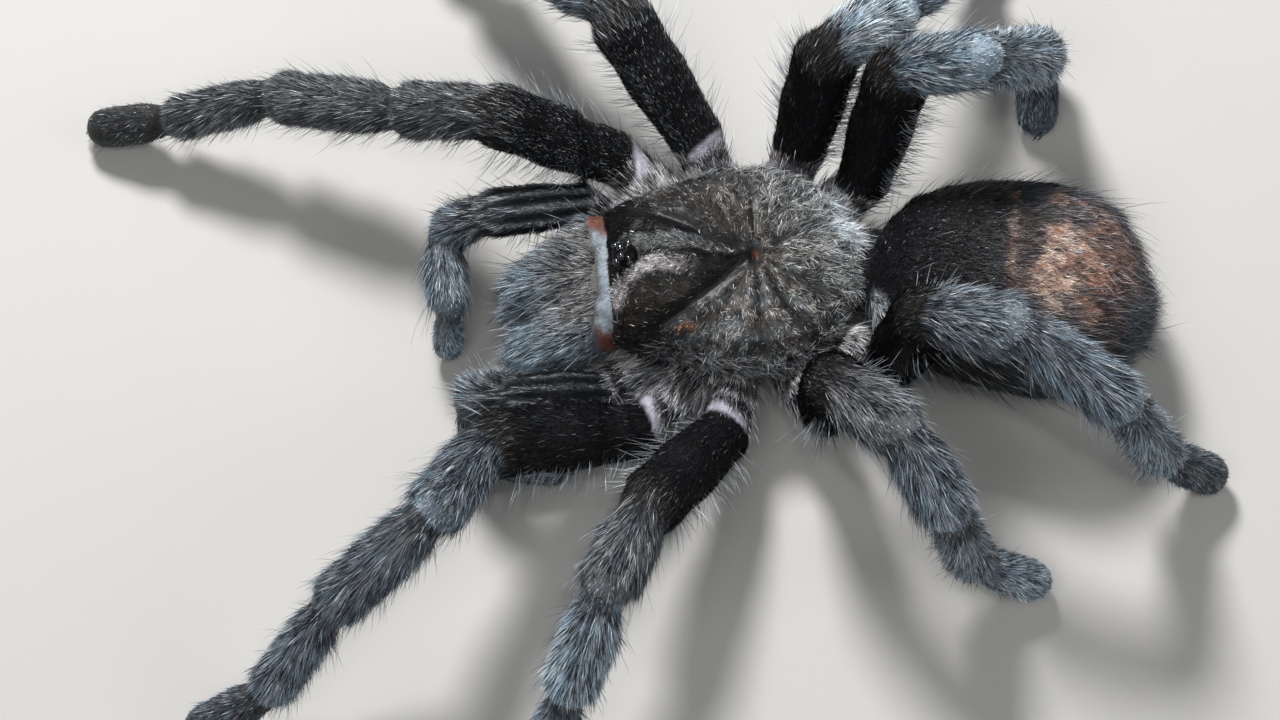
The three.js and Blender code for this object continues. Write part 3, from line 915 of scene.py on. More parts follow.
class NodeMaterial:
    """A small helper that adds and links shader nodes."""

    def __init__(self, name):
        self.material = bpy.data.materials.new(name)
        self.material.use_nodes = True
        self.tree = self.material.node_tree
        self.shader = self.tree.nodes["Principled BSDF"]

    def add(self, kind, inputs=None, **settings):
        node = self.tree.nodes.new(kind)
        for key, value in settings.items():
            setattr(node, key, value)
        for key, value in (inputs or {}).items():
            if isinstance(value, bpy.types.NodeSocket):
                self.tree.links.new(value, node.inputs[key])
            else:
                node.inputs[key].default_value = value
        return node

    def set(self, **values):
        for key, value in values.items():
            socket = self.shader.inputs[key.replace("_", " ")]
            if isinstance(value, bpy.types.NodeSocket):
                self.tree.links.new(value, socket)
            else:
                socket.default_value = value

    def places(self):
        return self.add("ShaderNodeTexCoord").outputs["Object"]

    def noise(self, size, detail=4.0, roughness=0.6):
        """Noise whose features are about the given size, in metres."""
        return self.add(
            "ShaderNodeTexNoise",
            {
                "Vector": self.places(),
                "Scale": 1.0 / size,
                "Detail": detail,
                "Roughness": roughness,
            },
        ).outputs["Fac"]

    def between(self, share, low, high):
        """A number that follows a share from 0 to 1."""
        inputs = {"Value": share, "To Min": low, "To Max": high}
        return self.add("ShaderNodeMapRange", inputs).outputs["Result"]

    def painted(self, factor):
        """The painted colours, made darker or lighter by a factor."""
        colours = self.add("ShaderNodeAttribute", attribute_name=MARKING).outputs["Color"]
        inputs = {0: colours, 1: factor}
        return self.add("ShaderNodeVectorMath", inputs, operation="MULTIPLY").outputs["Vector"]

    def clouded(self, share, dark, light):
        """A colour that a share moves from dark to light."""
        ramp = self.add("ShaderNodeValToRGB", {"Fac": share})
        for element, tone in zip(ramp.color_ramp.elements, (dark, light)):
            element.color = (*tone, 1.0)
        return ramp.outputs["Color"]

    def bump(self, height, strength, distance):
        inputs = {"Height": height, "Strength": strength, "Distance": distance}
        return self.add("ShaderNodeBump", inputs).outputs["Normal"]


def hair_material(name, gloss, roughness):
    """Dry hair: colour from each hair's own paint, broken up finely, with a soft gloss."""
    made = NodeMaterial(name)
    flecks = made.noise(0.25 * MM)
    made.set(Base_Color=made.painted(made.between(flecks, 0.7, 1.35)), Specular_IOR_Level=gloss)
    made.set(Roughness=made.between(flecks, roughness * 0.8, roughness * 1.2))
    return made.material


def skin_material(name):
    """Dark leathery skin with fine wrinkles, and pores where the hairs stand."""
    made = NodeMaterial(name)
    wrinkles = made.noise(0.5 * MM, 6.0, 0.65)
    cells = {"Vector": made.places(), "Scale": 1.0 / (0.22 * MM)}
    pores = made.add("ShaderNodeTexVoronoi", cells).outputs["Distance"]
    height = made.add("ShaderNodeMath", {0: wrinkles, 1: pores}, operation="ADD")
    made.set(Base_Color=made.painted(made.between(wrinkles, 0.65, 1.3)))
    made.set(Roughness=made.between(wrinkles, 0.38, 0.62), Specular_IOR_Level=0.3)
    made.set(Normal=made.bump(height.outputs["Value"], 0.5, 0.12 * MM))
    return made.material


def shield_material(name):
    """Hard dark cuticle, grained and slightly glossy."""
    made = NodeMaterial(name)
    fine = made.noise(0.35 * MM, 5.0, 0.6)
    clouds = made.noise(3.0 * MM, 3.0, 0.5)
    made.set(Base_Color=made.painted(made.between(clouds, 0.6, 1.4)))
    made.set(Roughness=made.between(fine, 0.32, 0.5), Specular_IOR_Level=0.3)
    made.set(Normal=made.bump(fine, 0.45, 0.08 * MM))
    return made.material


def horn_material(name):
    """Polished horn with faint streaks."""
    made = NodeMaterial(name)
    streaks = made.noise(0.6 * MM, 3.0, 0.5)
    tone = colour("horn")
    made.set(Base_Color=made.clouded(streaks, tone * 0.6, tone * 2.2), Coat_Weight=0.5)
    made.set(Roughness=made.between(streaks, 0.126, 0.252))
    made.set(Normal=made.bump(streaks, 0.15, 0.03 * MM))
    return made.material


def eye_material(name):
    """Wet black glass-like eyes."""
    made = NodeMaterial(name)
    depth = made.noise(0.4 * MM, 2.0, 0.5)
    made.set(Base_Color=made.clouded(depth, (0.002, 0.002, 0.003), (0.012, 0.014, 0.020)))
    made.set(Roughness=made.between(depth, 0.04, 0.10), Specular_IOR_Level=0.8)
    made.set(Coat_Weight=1.0, Coat_Roughness=0.03)
    return made.material


def mound_material(name):
    """Dull black cuticle round the eyes."""
    made = NodeMaterial(name)
    lumps = made.noise(0.3 * MM, 3.0, 0.5)
    made.set(Base_Color=made.clouded(lumps, (0.001, 0.001, 0.001), (0.007, 0.006, 0.006)))
    made.set(Roughness=made.between(lumps, 0.25, 0.45), Specular_IOR_Level=0.15)
    return made.material


def floor_material(name):
    """A plain pale matt floor."""
    made = NodeMaterial(name)
    dust = made.noise(30 * MM, 3.0, 0.5)
    made.set(Base_Color=made.clouded(dust, (0.50, 0.49, 0.47), (0.53, 0.52, 0.50)))
    made.set(Roughness=0.85, Specular_IOR_Level=0.2)
    return made.material


def shared_material(name, maker, *details):
    """The material of that name, made the first time that it is asked for."""
    return bpy.data.materials.get(name) or maker(name, *details)


def glossy_hair():
    return shared_material("tarantula_hair", hair_material, 0.40, 0.45)


def velvet_hair():
    return shared_material("tarantula_velvet", hair_material, 0.10, 0.70)


def horn():
    return shared_material("tarantula_horn", horn_material)


def finish_piece(piece, material, slot, *replaced):
    """Gives a piece its material, and lets it ride on the frame. Its slot is not used."""
    piece.data.materials.clear()
    piece.data.materials.append(material)
    faces = piece.data.polygons
    faces.foreach_set("use_smooth", np.ones(len(faces), bool))
    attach(piece, "root")
    if replaced:
        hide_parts(*replaced)


# ---- Skin ---------------------------------------------------------------------------------------


def coat_depth(segment, kind):
    """How deep the coat is on a segment. On the palps it is shallower than on the legs."""
    sizes = body_sizes()
    depth = {"femur": sizes.femur_depth, "tarsus": sizes.tarsus_depth}.get(segment, sizes.leg_depth)
    return depth * (0.72 if kind == "palp" else 1.0)


def remains(distance, spread):
    """How much is left of a feature at a distance from where it is strongest."""
    return math.exp(-((distance / spread) ** 2))


def add_limb_flesh(target, limb):
    """Turned segments that narrow to their joints, and a ball in each joint."""
    ends = []
    for i, segment in enumerate(limb.segments):
        start, end = limb.joints[i], limb.joints[i + 1]
        length = np.linalg.norm(end - start)
        near, middle, far = (r - coat_depth(segment, limb.kind) for r in limb.girths[i])
        narrowing = (0.0, 0.12)[i] if i < 2 else 0.26
        blunting = 0.0 if i == len(limb.segments) - 1 else 0.16
        profile = [(0.0, -0.5 * near)]
        for share in np.linspace(0.0, 1.0, 15):
            radius = np.interp(share, (0.0, *GIRTH_STATIONS, 1.0), (near, near, middle, far, far))
            pinch = narrowing * remains(share * length, 1.5 * MM)
            flare = 0.15 * remains((0.87 - share) * length, 1.9 * MM)
            rounding = blunting * remains((1 - share) * length, 0.55 * MM)
            profile.append((radius * (1.0 - pinch + flare - rounding), share * length))
        profile.append((0.62 * far, length + 0.50 * far))
        profile.append((0.0, length + 0.80 * far))
        add_lathe(target, profile, start, end, LATHE_SIDES)
        ends.append((near, far))
    for i, (joint, (near, _)) in enumerate(zip(limb.joints, ends)):
        before = ends[i - 1][1] if i else near
        add_ball(target, joint, [0.86 * min(near, before)] * 3)
    neck = 0.8 * ends[0][0]
    coxa = [(0.0, 0.0), (neck, 0.1 * MM), (neck, 6.0 * MM), (0.0, 6.1 * MM)]
    add_lathe(target, coxa, limb.coxa_root(), limb.joints[0], STALK_SIDES)


def add_trunk_flesh(target):
    """What joins the limbs: a core under the shield, the jaws' root and the abdomen's stalk."""
    core = Shield.place(0.50, 0.0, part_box("sternum")[0].z + 4.6 * MM)
    add_ball(target, core, (0.46 * Shield.length, 0.80 * Shield.half, 4.0 * MM))
    brow = Shield.place(-0.02, 0.0, 9.4 * MM)
    add_ball(target, brow, (5.0 * MM, 0.67 * Shield.half, 3.4 * MM))
    low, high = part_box("chelicera_left")
    between = Vector(((low.x + high.x) / 2, Shield.middle, low.z * 0.3 + high.z * 0.7))
    add_ball(target, between, (0.40 * (high.x - low.x), 2.6 * MM, 2.4 * MM))
    waist = Vector((Shield.high.x + 0.4 * MM, Shield.middle, 6.6 * MM))
    add_ball(target, waist, (4.2 * MM, 4.6 * MM, 2.9 * MM))
    stalk = [(0.0, 0.0), (1.8 * MM, 0.1 * MM), (1.8 * MM, 5.9 * MM), (0.0, 6.0 * MM)]
    start = Vector((Shield.high.x - 2.6 * MM, Shield.middle, 8.2 * MM))
    add_lathe(target, stalk, start, start + Vector(Abdomen.axis) * 6.0 * MM, STALK_SIDES)


def flesh_nodes():
    """Every node that the one skin stands for."""
    kept = ("carapace", "eye_mound", "fang_right", "fang_left")
    return [node for node in sorted(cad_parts) if node not in kept]


def sink_band(points, normals):
    """Sinks the bare band between jaws and shield below the hairy jaws."""
    return points - normals * (BAND_SUNK * band_share(points))[:, None]


def skin_colour(points, regions):
    """Paints the bare skin: dark under the hair, partly as painted shade between the hairs, pale
    where it is bare at the joints.
    """
    shade = np.tile(colour("charcoal"), (len(points), 1))
    # Under the hair the skin is a darker copy of the coat's colour, on limbs, abdomen and jaws:
    # painted shade between the hairs over the skin's own dark tone
    for limb in LIMBS:
        here = regions == limb.name
        fields = limb.fields(points[here])
        marks = limb_marks(limb, fields)
        own = limb_colour(limb, fields, points[here]) * 0.35
        bare = np.maximum(0.05 * marks["ring"], marks["spots"])
        bare = np.maximum(bare, 0.30 * marks["stripes"])
        shade[here] = mixed(own, colour("membrane") * 0.7, bare)
    here = regions == "abdomen"
    shade[here] = abdomen_colour(points[here]) * 0.7
    here = (regions == "jaws") | (regions == "neck")
    band = band_share(points[here])
    shade[here] = mixed(jaw_colour(points[here]) * 0.4, band_colour(points[here]), band)
    creases = 0.55 + 0.75 * grain(points, 0.35 * MM, 19)[:, None]
    return mixed(shade, colour("membrane") * creases, crescent_share(points))


class TARANTULA_OT_skin(bpy.types.Operator):
    """Fuse the whole animal's flesh into one skin, drawn in by the depth of the coat"""

    bl_idname = "tarantula.skin"
    bl_label = "Skin"

    def execute(self, context):
        sizes = body_sizes()
        flesh = bmesh.new()
        for limb in LIMBS:
            add_limb_flesh(flesh, limb)
        add_trunk_flesh(flesh)
        add_shrunk_node(flesh, "abdomen", sizes.abdomen_depth)
        add_shrunk_node(flesh, "sternum", STERNUM_DEPTH)
        for side in SIDES:
            add_shrunk_node(flesh, f"chelicera_{side}", sizes.jaw_depth)
            add_shrunk_node(flesh, f"coxae_{side}", sizes.coxa_depth)
            add_shrunk_node(flesh, f"spinneret_{side}", SPINNERET_DEPTH)
        skin = fuse(object_from(flesh, "skin"), sizes.voxel, SMOOTHING["skin"])
        points = corners_of(skin.data)
        set_corners(skin.data, sink_band(points, normals_of(skin.data)))
        tree, regions = region_tree()
        found = [regions[tree.find_nearest(Vector(at))[2]] for at in corners_of(skin.data)]
        paint(skin.data, skin_colour(corners_of(skin.data), np.array(found)))
        names = sorted(set(found))
        layer = skin.data.attributes.new("region", "INT", "POINT")
        layer.data.foreach_set("value", np.array([names.index(n) for n in found], np.int32))
        skin["regions"] = names
        material = shared_material("tarantula_skin", skin_material)
        finish_piece(skin, material, "grey_coat", *flesh_nodes())
        return {"FINISHED"}


# ---- Shield -------------------------------------------------------------------------------------


def shield_relief(points):
    """How far each point of the shield is sunk: pit, neck grooves and radial grooves."""
    local = Shield.local(points)
    gap, ahead = neck_line(local)
    along = (local[:, 0] - FOVEA[0]) * Shield.length
    across = local[:, 1] * Shield.half
    pit = 1.1 * hump(along, 0.0, 0.55 * MM) * hump(across, 0.0, 1.1 * MM)
    spokes, away = around_pit(local)
    fade = ease(0.8, 2.5, away) * ease(12.0, 8.0, away)
    radial = rays(spokes, 0.085) * fade * (1 - ahead)
    neck = 0.5 * hump(gap, 0.0, 0.06) * ease(0.0, 2.0, away)
    dimples = 0.10 * (grain(points, 1.1 * MM, 31) - 0.5)
    return (pit + neck + 0.28 * radial + dimples) * MM


class TARANTULA_OT_shield(bpy.types.Operator):
    """Carve the carapace: a hard shield with a pit and grooves that spread from it"""

    bl_idname = "tarantula.shield"
    bl_label = "Shield"

    def execute(self, context):
        block = bmesh.new()
        add_shrunk_node(block, "carapace", body_sizes().shield_depth)
        shield = fuse(object_from(block, "shield"), SHIELD_VOXEL, SMOOTHING["shield"])
        points = corners_of(shield.data)
        upward = ease(0.15, 0.6, normals_of(shield.data)[:, 2])
        points[:, 2] -= shield_relief(points) * upward
        set_corners(shield.data, points)
        # Under the hair the shield is a darker copy of the coat's colour: painted shade between the
        # hairs over its own dark tone
        shade = shield_colour(points, shield_marks(points)) * 0.4
        paint(shield.data, mixed(colour("charcoal") * 0.8, shade, upward))
        material = shared_material("tarantula_shield", shield_material)
        finish_piece(shield, material, "brown_coat", "carapace")
        return {"FINISHED"}


# ---- Eyes, fangs and claws ----------------------------------------------------------------------


class TARANTULA_OT_eyes(bpy.types.Operator):
    """Set eight glossy eyes on their dark mound"""

    bl_idname = "tarantula.eyes"
    bl_label = "Eyes"

    def execute(self, context):
        low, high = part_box("eye_mound")
        ahead = (low.x + high.x) / 2 - MOUND_AHEAD
        centre = Vector((ahead, (low.y + high.y) / 2, high.z - MOUND_SUNK))
        balls = [
            (centre + Vector((offset[0], side * offset[1], offset[2])) * MM, radius)
            for offset, radius in EYES.values()
            for side in SIDES.values()
        ]
        mound = bmesh.new()
        add_ball(mound, centre, [radius * MM for radius in MOUND_RADII])
        for corner in mound.verts:
            lump = math.sin(corner.co.x / (0.3 * MM)) * math.sin(corner.co.y / (0.35 * MM))
            corner.co += corner.normal * 0.015 * MM * lump
        for at, radius in balls:
            rim = [1.10 * radius * MM] * 3
            add_ball(mound, at - (at - centre).normalized() * 0.12 * MM, rim)
        piece = fuse(object_from(mound, "eye_mound_detail"), MOUND_VOXEL, SMOOTHING["mound"])
        cuticle = shared_material("tarantula_mound", mound_material)
        finish_piece(piece, cuticle, "horn", "eye_mound")
        lenses = bmesh.new()
        for at, radius in balls:
            add_ball(lenses, at, [radius * MM] * 3)
        glass = shared_material("tarantula_eyes", eye_material)
        finish_piece(object_from(lenses, "eyes"), glass, "horn")
        return {"FINISHED"}


class TARANTULA_OT_fangs(bpy.types.Operator):
    """Smooth the two fangs that hang under the jaws"""

    bl_idname = "tarantula.fangs"
    bl_label = "Fangs"

    def execute(self, context):
        for side in SIDES:
            piece = object_from(merged_copy(f"fang_{side}"), f"fang_horn_{side}")
            rounding = piece.modifiers.new("rounding", "SUBSURF")
            rounding.levels = 2
            rounding.render_levels = 2
            finish_piece(with_modifiers_applied(piece), horn(), "horn", f"fang_{side}")
        return {"FINISHED"}


def add_claw(target, root, forward, down):
    """A small horn hook that curves downwards."""
    radii = np.linspace(0.17, 0.02, CLAW_STEPS + 1) * MM
    spine = [Vector(root)]
    for share in np.linspace(0.0, 1.0, CLAW_STEPS):
        heading = (Vector(forward) * (1 - 0.75 * share) + Vector(down) * share).normalized()
        spine.append(spine[-1] + heading * CLAW_LENGTH / CLAW_STEPS)
    rings = []
    for i, (at, radius) in enumerate(zip(spine, radii)):
        ahead = spine[min(i + 1, CLAW_STEPS)] - spine[max(i - 1, 0)]
        place = Matrix.Translation(at) @ ahead.to_track_quat("Z", "Y").to_matrix().to_4x4()
        capped = i in (0, CLAW_STEPS)
        ring = bmesh.ops.create_circle(
            target, cap_ends=capped, segments=8, radius=radius, matrix=place
        )["verts"]
        rings.append({edge for corner in ring for edge in corner.link_edges})
    for ring, following in zip(rings, rings[1:]):
        bmesh.ops.bridge_loops(target, edges=list(ring | following))


class TARANTULA_OT_claws(bpy.types.Operator):
    """Give every foot its two small hooked claws"""

    bl_idname = "tarantula.claws"
    bl_label = "Claws"

    def execute(self, context):
        hooks = bmesh.new()
        for limb in LIMBS:
            axis, across, upper = limb.axes[-1], limb.across[-1], limb.upper[-1]
            reach = limb.girths[-1][2] - coat_depth("tarsus", limb.kind)
            for sideways in (-1, 1):
                root = limb.joints[-1] + axis * reach * 0.35 + across * sideways * 0.30 * MM
                root = root + upper * reach * 0.15
                add_claw(hooks, root, axis, -upper)
        bmesh.ops.recalc_face_normals(hooks, faces=hooks.faces)
        finish_piece(object_from(hooks, "claws"), horn(), "horn")
        return {"FINISHED"}


# ---- Coat: roots --------------------------------------------------------------------------------


class Roots:
    """Many hair roots: places, surface normals and places on the skin's unwrap."""

    def __init__(self, place, normal, spot):
        self.place = place
        self.normal = normal
        self.spot = spot

    def keep(self, chosen):
        return Roots(self.place[chosen], self.normal[chosen], self.spot[chosen])


def unwrapped_part(source, chosen):
    """A copy of the chosen faces of a mesh, unwrapped over its own shape."""
    part = bpy.data.objects.new("part", source.copy())
    bpy.context.scene.collection.objects.link(part)
    cut = bmesh.new()
    cut.from_mesh(part.data)
    cut.faces.ensure_lookup_table()
    gone = [cut.faces[i] for i in np.flatnonzero(~chosen)]
    bmesh.ops.delete(cut, geom=gone, context="FACES")
    cut.to_mesh(part.data)
    cut.free()
    for layer in list(part.data.uv_layers):
        part.data.uv_layers.remove(layer)
    part.data.uv_layers.new(name=UNWRAP)
    bpy.ops.object.select_all(action="DESELECT")
    part.select_set(True)
    bpy.context.view_layer.objects.active = part
    bpy.ops.object.mode_set(mode="EDIT")
    bpy.ops.mesh.select_all(action="SELECT")
    bpy.ops.uv.smart_project(angle_limit=1.15, island_margin=0.004, scale_to_bounds=True)
    bpy.ops.object.mode_set(mode="OBJECT")
    return part


def scatter(part, density, dice):
    """Sows roots over a part, density to the square millimetre, evenly from face to face."""
    mesh = part.data
    mesh.calc_loop_triangles()
    tri = values_of(mesh.loop_triangles, "vertices", width=3)
    loops = values_of(mesh.loop_triangles, "loops", width=3)
    spots = values_of(mesh.uv_layers[UNWRAP].data, "uv", np.float32, 2)
    points, normals = corners_of(mesh), normals_of(mesh)
    count = len(tri)
    wide = np.cross(points[tri[:, 1]] - points[tri[:, 0]], points[tri[:, 2]] - points[tri[:, 0]])
    expected = np.linalg.norm(wide, axis=1) / 2 / MM**2 * density
    counts = np.floor(expected + dice.random(count)).astype(int)
    face = np.repeat(np.arange(count), counts)
    first, second = dice.random((2, len(face)))
    fold = first + second > 1
    first[fold], second[fold] = 1 - first[fold], 1 - second[fold]
    weights = np.stack((1 - first - second, first, second), 1)[:, :, None]
    return Roots(
        (points[tri[face]] * weights).sum(1),
        unit((normals[tri[face]] * weights).sum(1)),
        (spots[loops[face]] * weights).sum(1),
    )


# ---- Coat: strands ------------------------------------------------------------------------------


def strand_faces(rings, sides):
    """Faces of one strand: rings of corners that close on one tip."""
    steps = range(sides) if sides > 2 else range(1)
    faces = []
    for ring in range(rings - 1):
        for step in steps:
            a, b = ring * sides + step, ring * sides + (step + 1) % sides
            faces.append((a, b, b + sides, a + sides))
    top = (rings - 1) * sides
    for step in steps:
        faces.append((top + step, top + (step + 1) % sides, rings * sides))
    return faces


class Strands:
    """Tapered hairs on their way to becoming one mesh piece."""

    def __init__(self):
        self.batches = []

    def grow(self, roots, heading, look, dice, rings=2, sides=2):
        """Adds hairs that lie along a heading, with the lengths, angles and colours of a look."""
        count = len(roots.place)
        if not count:
            return
        normal = roots.normal
        wander = dice.normal(0.0, 1.0, (count, 3)) * look["stray"]
        heading = flat_on(heading + wander, normal)
        lift = look["lift"] + dice.normal(0.0, look["spread"], count)
        lift = np.radians(np.clip(lift, *ROOT_ANGLES))
        bend = np.radians(np.clip(np.degrees(lift) * look["settle"], *TIP_ANGLES))
        first = heading * np.cos(lift)[:, None] + normal * np.sin(lift)[:, None]
        last = heading * np.cos(bend)[:, None] + normal * np.sin(bend)[:, None]
        length = (look["length"] * np.exp(dice.normal(0.0, look["uneven"], count)))[:, None]
        base = roots.place - normal * ROOT_DEPTH
        side = unit(np.cross(first, normal))
        lean = np.cross(side, first)
        roll = dice.normal(0.0, 0.6, count)[:, None]
        thick = look["width"] * (0.8 + 0.4 * dice.random(count))
        corners = np.empty((count, rings * sides + 1, 3))
        shades = np.empty((count, rings * sides + 1, 3))
        spots = np.empty((count, rings * sides + 1, 2))
        glow = np.exp(dice.normal(0.0, look["sparkle"], count))[:, None]
        for ring in range(rings + 1):
            share = ring / rings
            at = base + length * (first * share * (1 - share / 2) + last * share**2 / 2)
            at[:, 2] = np.maximum(at[:, 2], FLOOR_GAP)
            # Each hair darkens towards its root: partly its own darker root, partly painted shade
            # deep in the coat
            tone = mixed(look["root"], look["tip"], np.full(count, share ** look["fade"])) * glow
            if ring == rings:
                corners[:, -1], shades[:, -1] = at, tone
                spots[:, -1] = roots.spot + (0.0, TUFT_PATCH / 2)
                break
            reach = (thick * (1 - TAPER * share))[:, None] / 2
            for step in range(sides):
                turn = roll + math.tau * step / sides
                corner = ring * sides + step
                corners[:, corner] = at + (side * np.cos(turn) + lean * np.sin(turn)) * reach
                shades[:, corner] = tone
                swing = TUFT_PATCH * (step / max(sides - 1, 1) - 0.5)
                spots[:, corner] = roots.spot + (swing, TUFT_PATCH * (share - 0.5))
        self.batches.append((corners, shades, np.clip(spots, 0, 1), strand_faces(rings, sides)))

    def make(self, name, slot, material):
        """Turns all hairs into one piece."""
        corner_sets, colour_sets, spot_sets, loop_sets, size_sets = [], [], [], [], []
        start = 0
        for corners, shades, spots, faces in self.batches:
            count, per_hair = corners.shape[:2]
            pattern = np.concatenate([np.array(face) for face in faces])
            offsets = start + per_hair * np.arange(count)[:, None]
            loop_sets.append((pattern[None, :] + offsets).ravel())
            size_sets.append(np.tile([len(face) for face in faces], count))
            spot_sets.append(spots[:, pattern].reshape(-1, 2))
            corner_sets.append(corners.reshape(-1, 3))
            colour_sets.append(shades.reshape(-1, 3))
            start += count * per_hair
        mesh = bpy.data.meshes.new(name)
        corners, loops, sizes = (np.concatenate(s) for s in (corner_sets, loop_sets, size_sets))
        mesh.vertices.add(len(corners))
        mesh.vertices.foreach_set("co", corners.astype(np.float32).ravel())
        mesh.loops.add(len(loops))
        mesh.loops.foreach_set("vertex_index", loops.astype(np.int32))
        mesh.polygons.add(len(sizes))
        starts = np.concatenate(([0], np.cumsum(sizes)[:-1]))
        mesh.polygons.foreach_set("loop_start", starts.astype(np.int32))
        mesh.update(calc_edges=True)
        layer = mesh.uv_layers.new(name=UNWRAP)
        layer.data.foreach_set("uv", np.concatenate(spot_sets).astype(np.float32).ravel())
        paint(mesh, np.concatenate(colour_sets))
        finish_piece(object_from(mesh, name), material, slot)


def look_of(length, lift, root, tip, **changes):
    """Lengths in metres, angles in degrees and colours of a batch of hairs."""
    look = {
        "length": length,
        "lift": lift,
        "root": root,
        "tip": tip,
        "spread": 7.0,  # degrees by which the lift varies
        "settle": 0.35,  # angle at the tip, as a share of the lift
        "stray": 0.16,  # how much the heading varies
        "uneven": 0.2,  # how much the length varies
        "sparkle": 0.45,  # how much the brightness varies
        "fade": 1.3,  # the higher, the nearer to its tip a hair takes the tip's colour
        "width": coat_sizes().width,
    }
    look.update(changes)
    return look


def grow_coat(strands, roots, heading, look, dice, curved):
    """Most hairs of a coat are short and straight; a share of them is longer and curls back."""
    count = len(roots.place)
    chosen = dice.random(count) < curved
    for here, rings, stretch in ((~chosen, 1, 0.85), (chosen, 2, 1.2)):
        part = {
            key: value[here] if np.ndim(value) and len(value) == count else value
            for key, value in look.items()
        }
        part["length"] = part["length"] * stretch
        part["lift"] = part["lift"] * stretch
        strands.grow(roots.keep(here), heading[here], part, dice, rings=rings)


def darkened(tip, points, share, dice):
    """Turns a share of the hairs dark, most of them in narrow locks, and the rest paler: partly the
    coat's own dark hairs, partly painted shade between the locks.
    """
    locks = ease(0.36, 0.64, grain(points, 0.42 * MM, 91))
    dark = (dice.random(len(tip)) < share * (0.2 + 1.6 * locks))[:, None]
    return np.where(dark, np.minimum(tip, colour("charcoal") * 1.5), tip * 1.45)


def dice_for(name):
    """The same random draws for a piece on every run."""
    return np.random.default_rng(sum(ord(letter) * (i + 3) for i, letter in enumerate(name)))


def silvered(tip, share, dice):
    """Turns a share of the hairs silvery."""
    chosen = dice.random(len(tip)) < share
    return np.where(chosen[:, None], colour("silver") * SILVERY, tip)


def thinning():
    """Share of the hairs that are grown."""
    return 1.0


def skin_part(region):
    """The skin's faces of one region, unwrapped."""
    skin = bpy.data.objects["skin"]
    names = list(skin["regions"])
    marks = values_of(skin.data.attributes["region"].data, "value")
    firsts = values_of(skin.data.polygons, "loop_start")
    corners = values_of(skin.data.loops, "vertex_index")
    wanted = [names.index(region)] if region in names else []
    return unwrapped_part(skin.data, np.isin(marks[corners[firsts]], wanted))


def clumped(roots, heading, size, seed, strength):
    """Turns the lie of neighbouring hairs together, so that they gather in locks."""
    pulls = [grain(roots.place, size, seed + i) - 0.5 for i in range(3)]
    return heading + np.stack(pulls, 1) * 2 * strength


def grow_bristles(strands, roots, heading, chance, lengths, lifts, tips, dice, **changes):
    """Long bristles on a few roots. Each draws its length in millimetres and its angle between
    two bounds, and its tip between two colours where there are two."""
    chosen = np.flatnonzero(dice.random(len(roots.place)) < chance / thinning())
    length = dice.uniform(*lengths, len(chosen)) * MM
    lift = dice.uniform(*lifts, len(chosen))
    tip = tips[0] if len(tips) == 1 else mixed(*tips, dice.random(len(chosen)))
    look = look_of(length, lift, colour("charcoal"), tip, **changes)
    strands.grow(roots.keep(chosen), heading[chosen], look, dice, **BRISTLE)


# ---- Coat: limbs --------------------------------------------------------------------------------


def limb_lengths(limb, fields):
    """Hair length on each root of a limb: velvet, leg hair, foot hair, shorter near the joints."""
    sizes = coat_sizes()
    by_segment = {"femur": sizes.velvet, "tarsus": sizes.foot}
    lengths = np.array([by_segment.get(segment, sizes.leg) for segment in limb.segments])
    length = lengths[fields["which"]]
    if limb.kind == "palp":
        length = length * 0.85
    beyond = fields["which"] > 1
    near = np.where(beyond, 1 - 0.55 * ease(2.4 * MM, 0.2 * MM, fields["near"]), 1.0)
    last = fields["which"] == len(limb.segments) - 1
    far = 1 - np.where(last, 0.45, 0.70) * ease(2.2 * MM, 0.2 * MM, fields["far"])
    knee = 1 + 0.9 * ease(3.2 * MM, 0.8 * MM, fields["far"])
    return length * near * np.where(fields["which"] == 0, knee, far * LENGTHS.get(limb.name, 1.0))


def limb_heading(limb, fields):
    """Hair lies along the limb and falls away from its upper line to both sides."""
    which = fields["which"]
    angle = np.radians(fields["around"])[:, None]
    falling = limb.across[which] * np.cos(angle) - limb.upper[which] * np.sin(angle)
    falling = falling * np.sin(angle)
    return fields["heading"] + 0.38 * falling * (which > 0)[:, None]


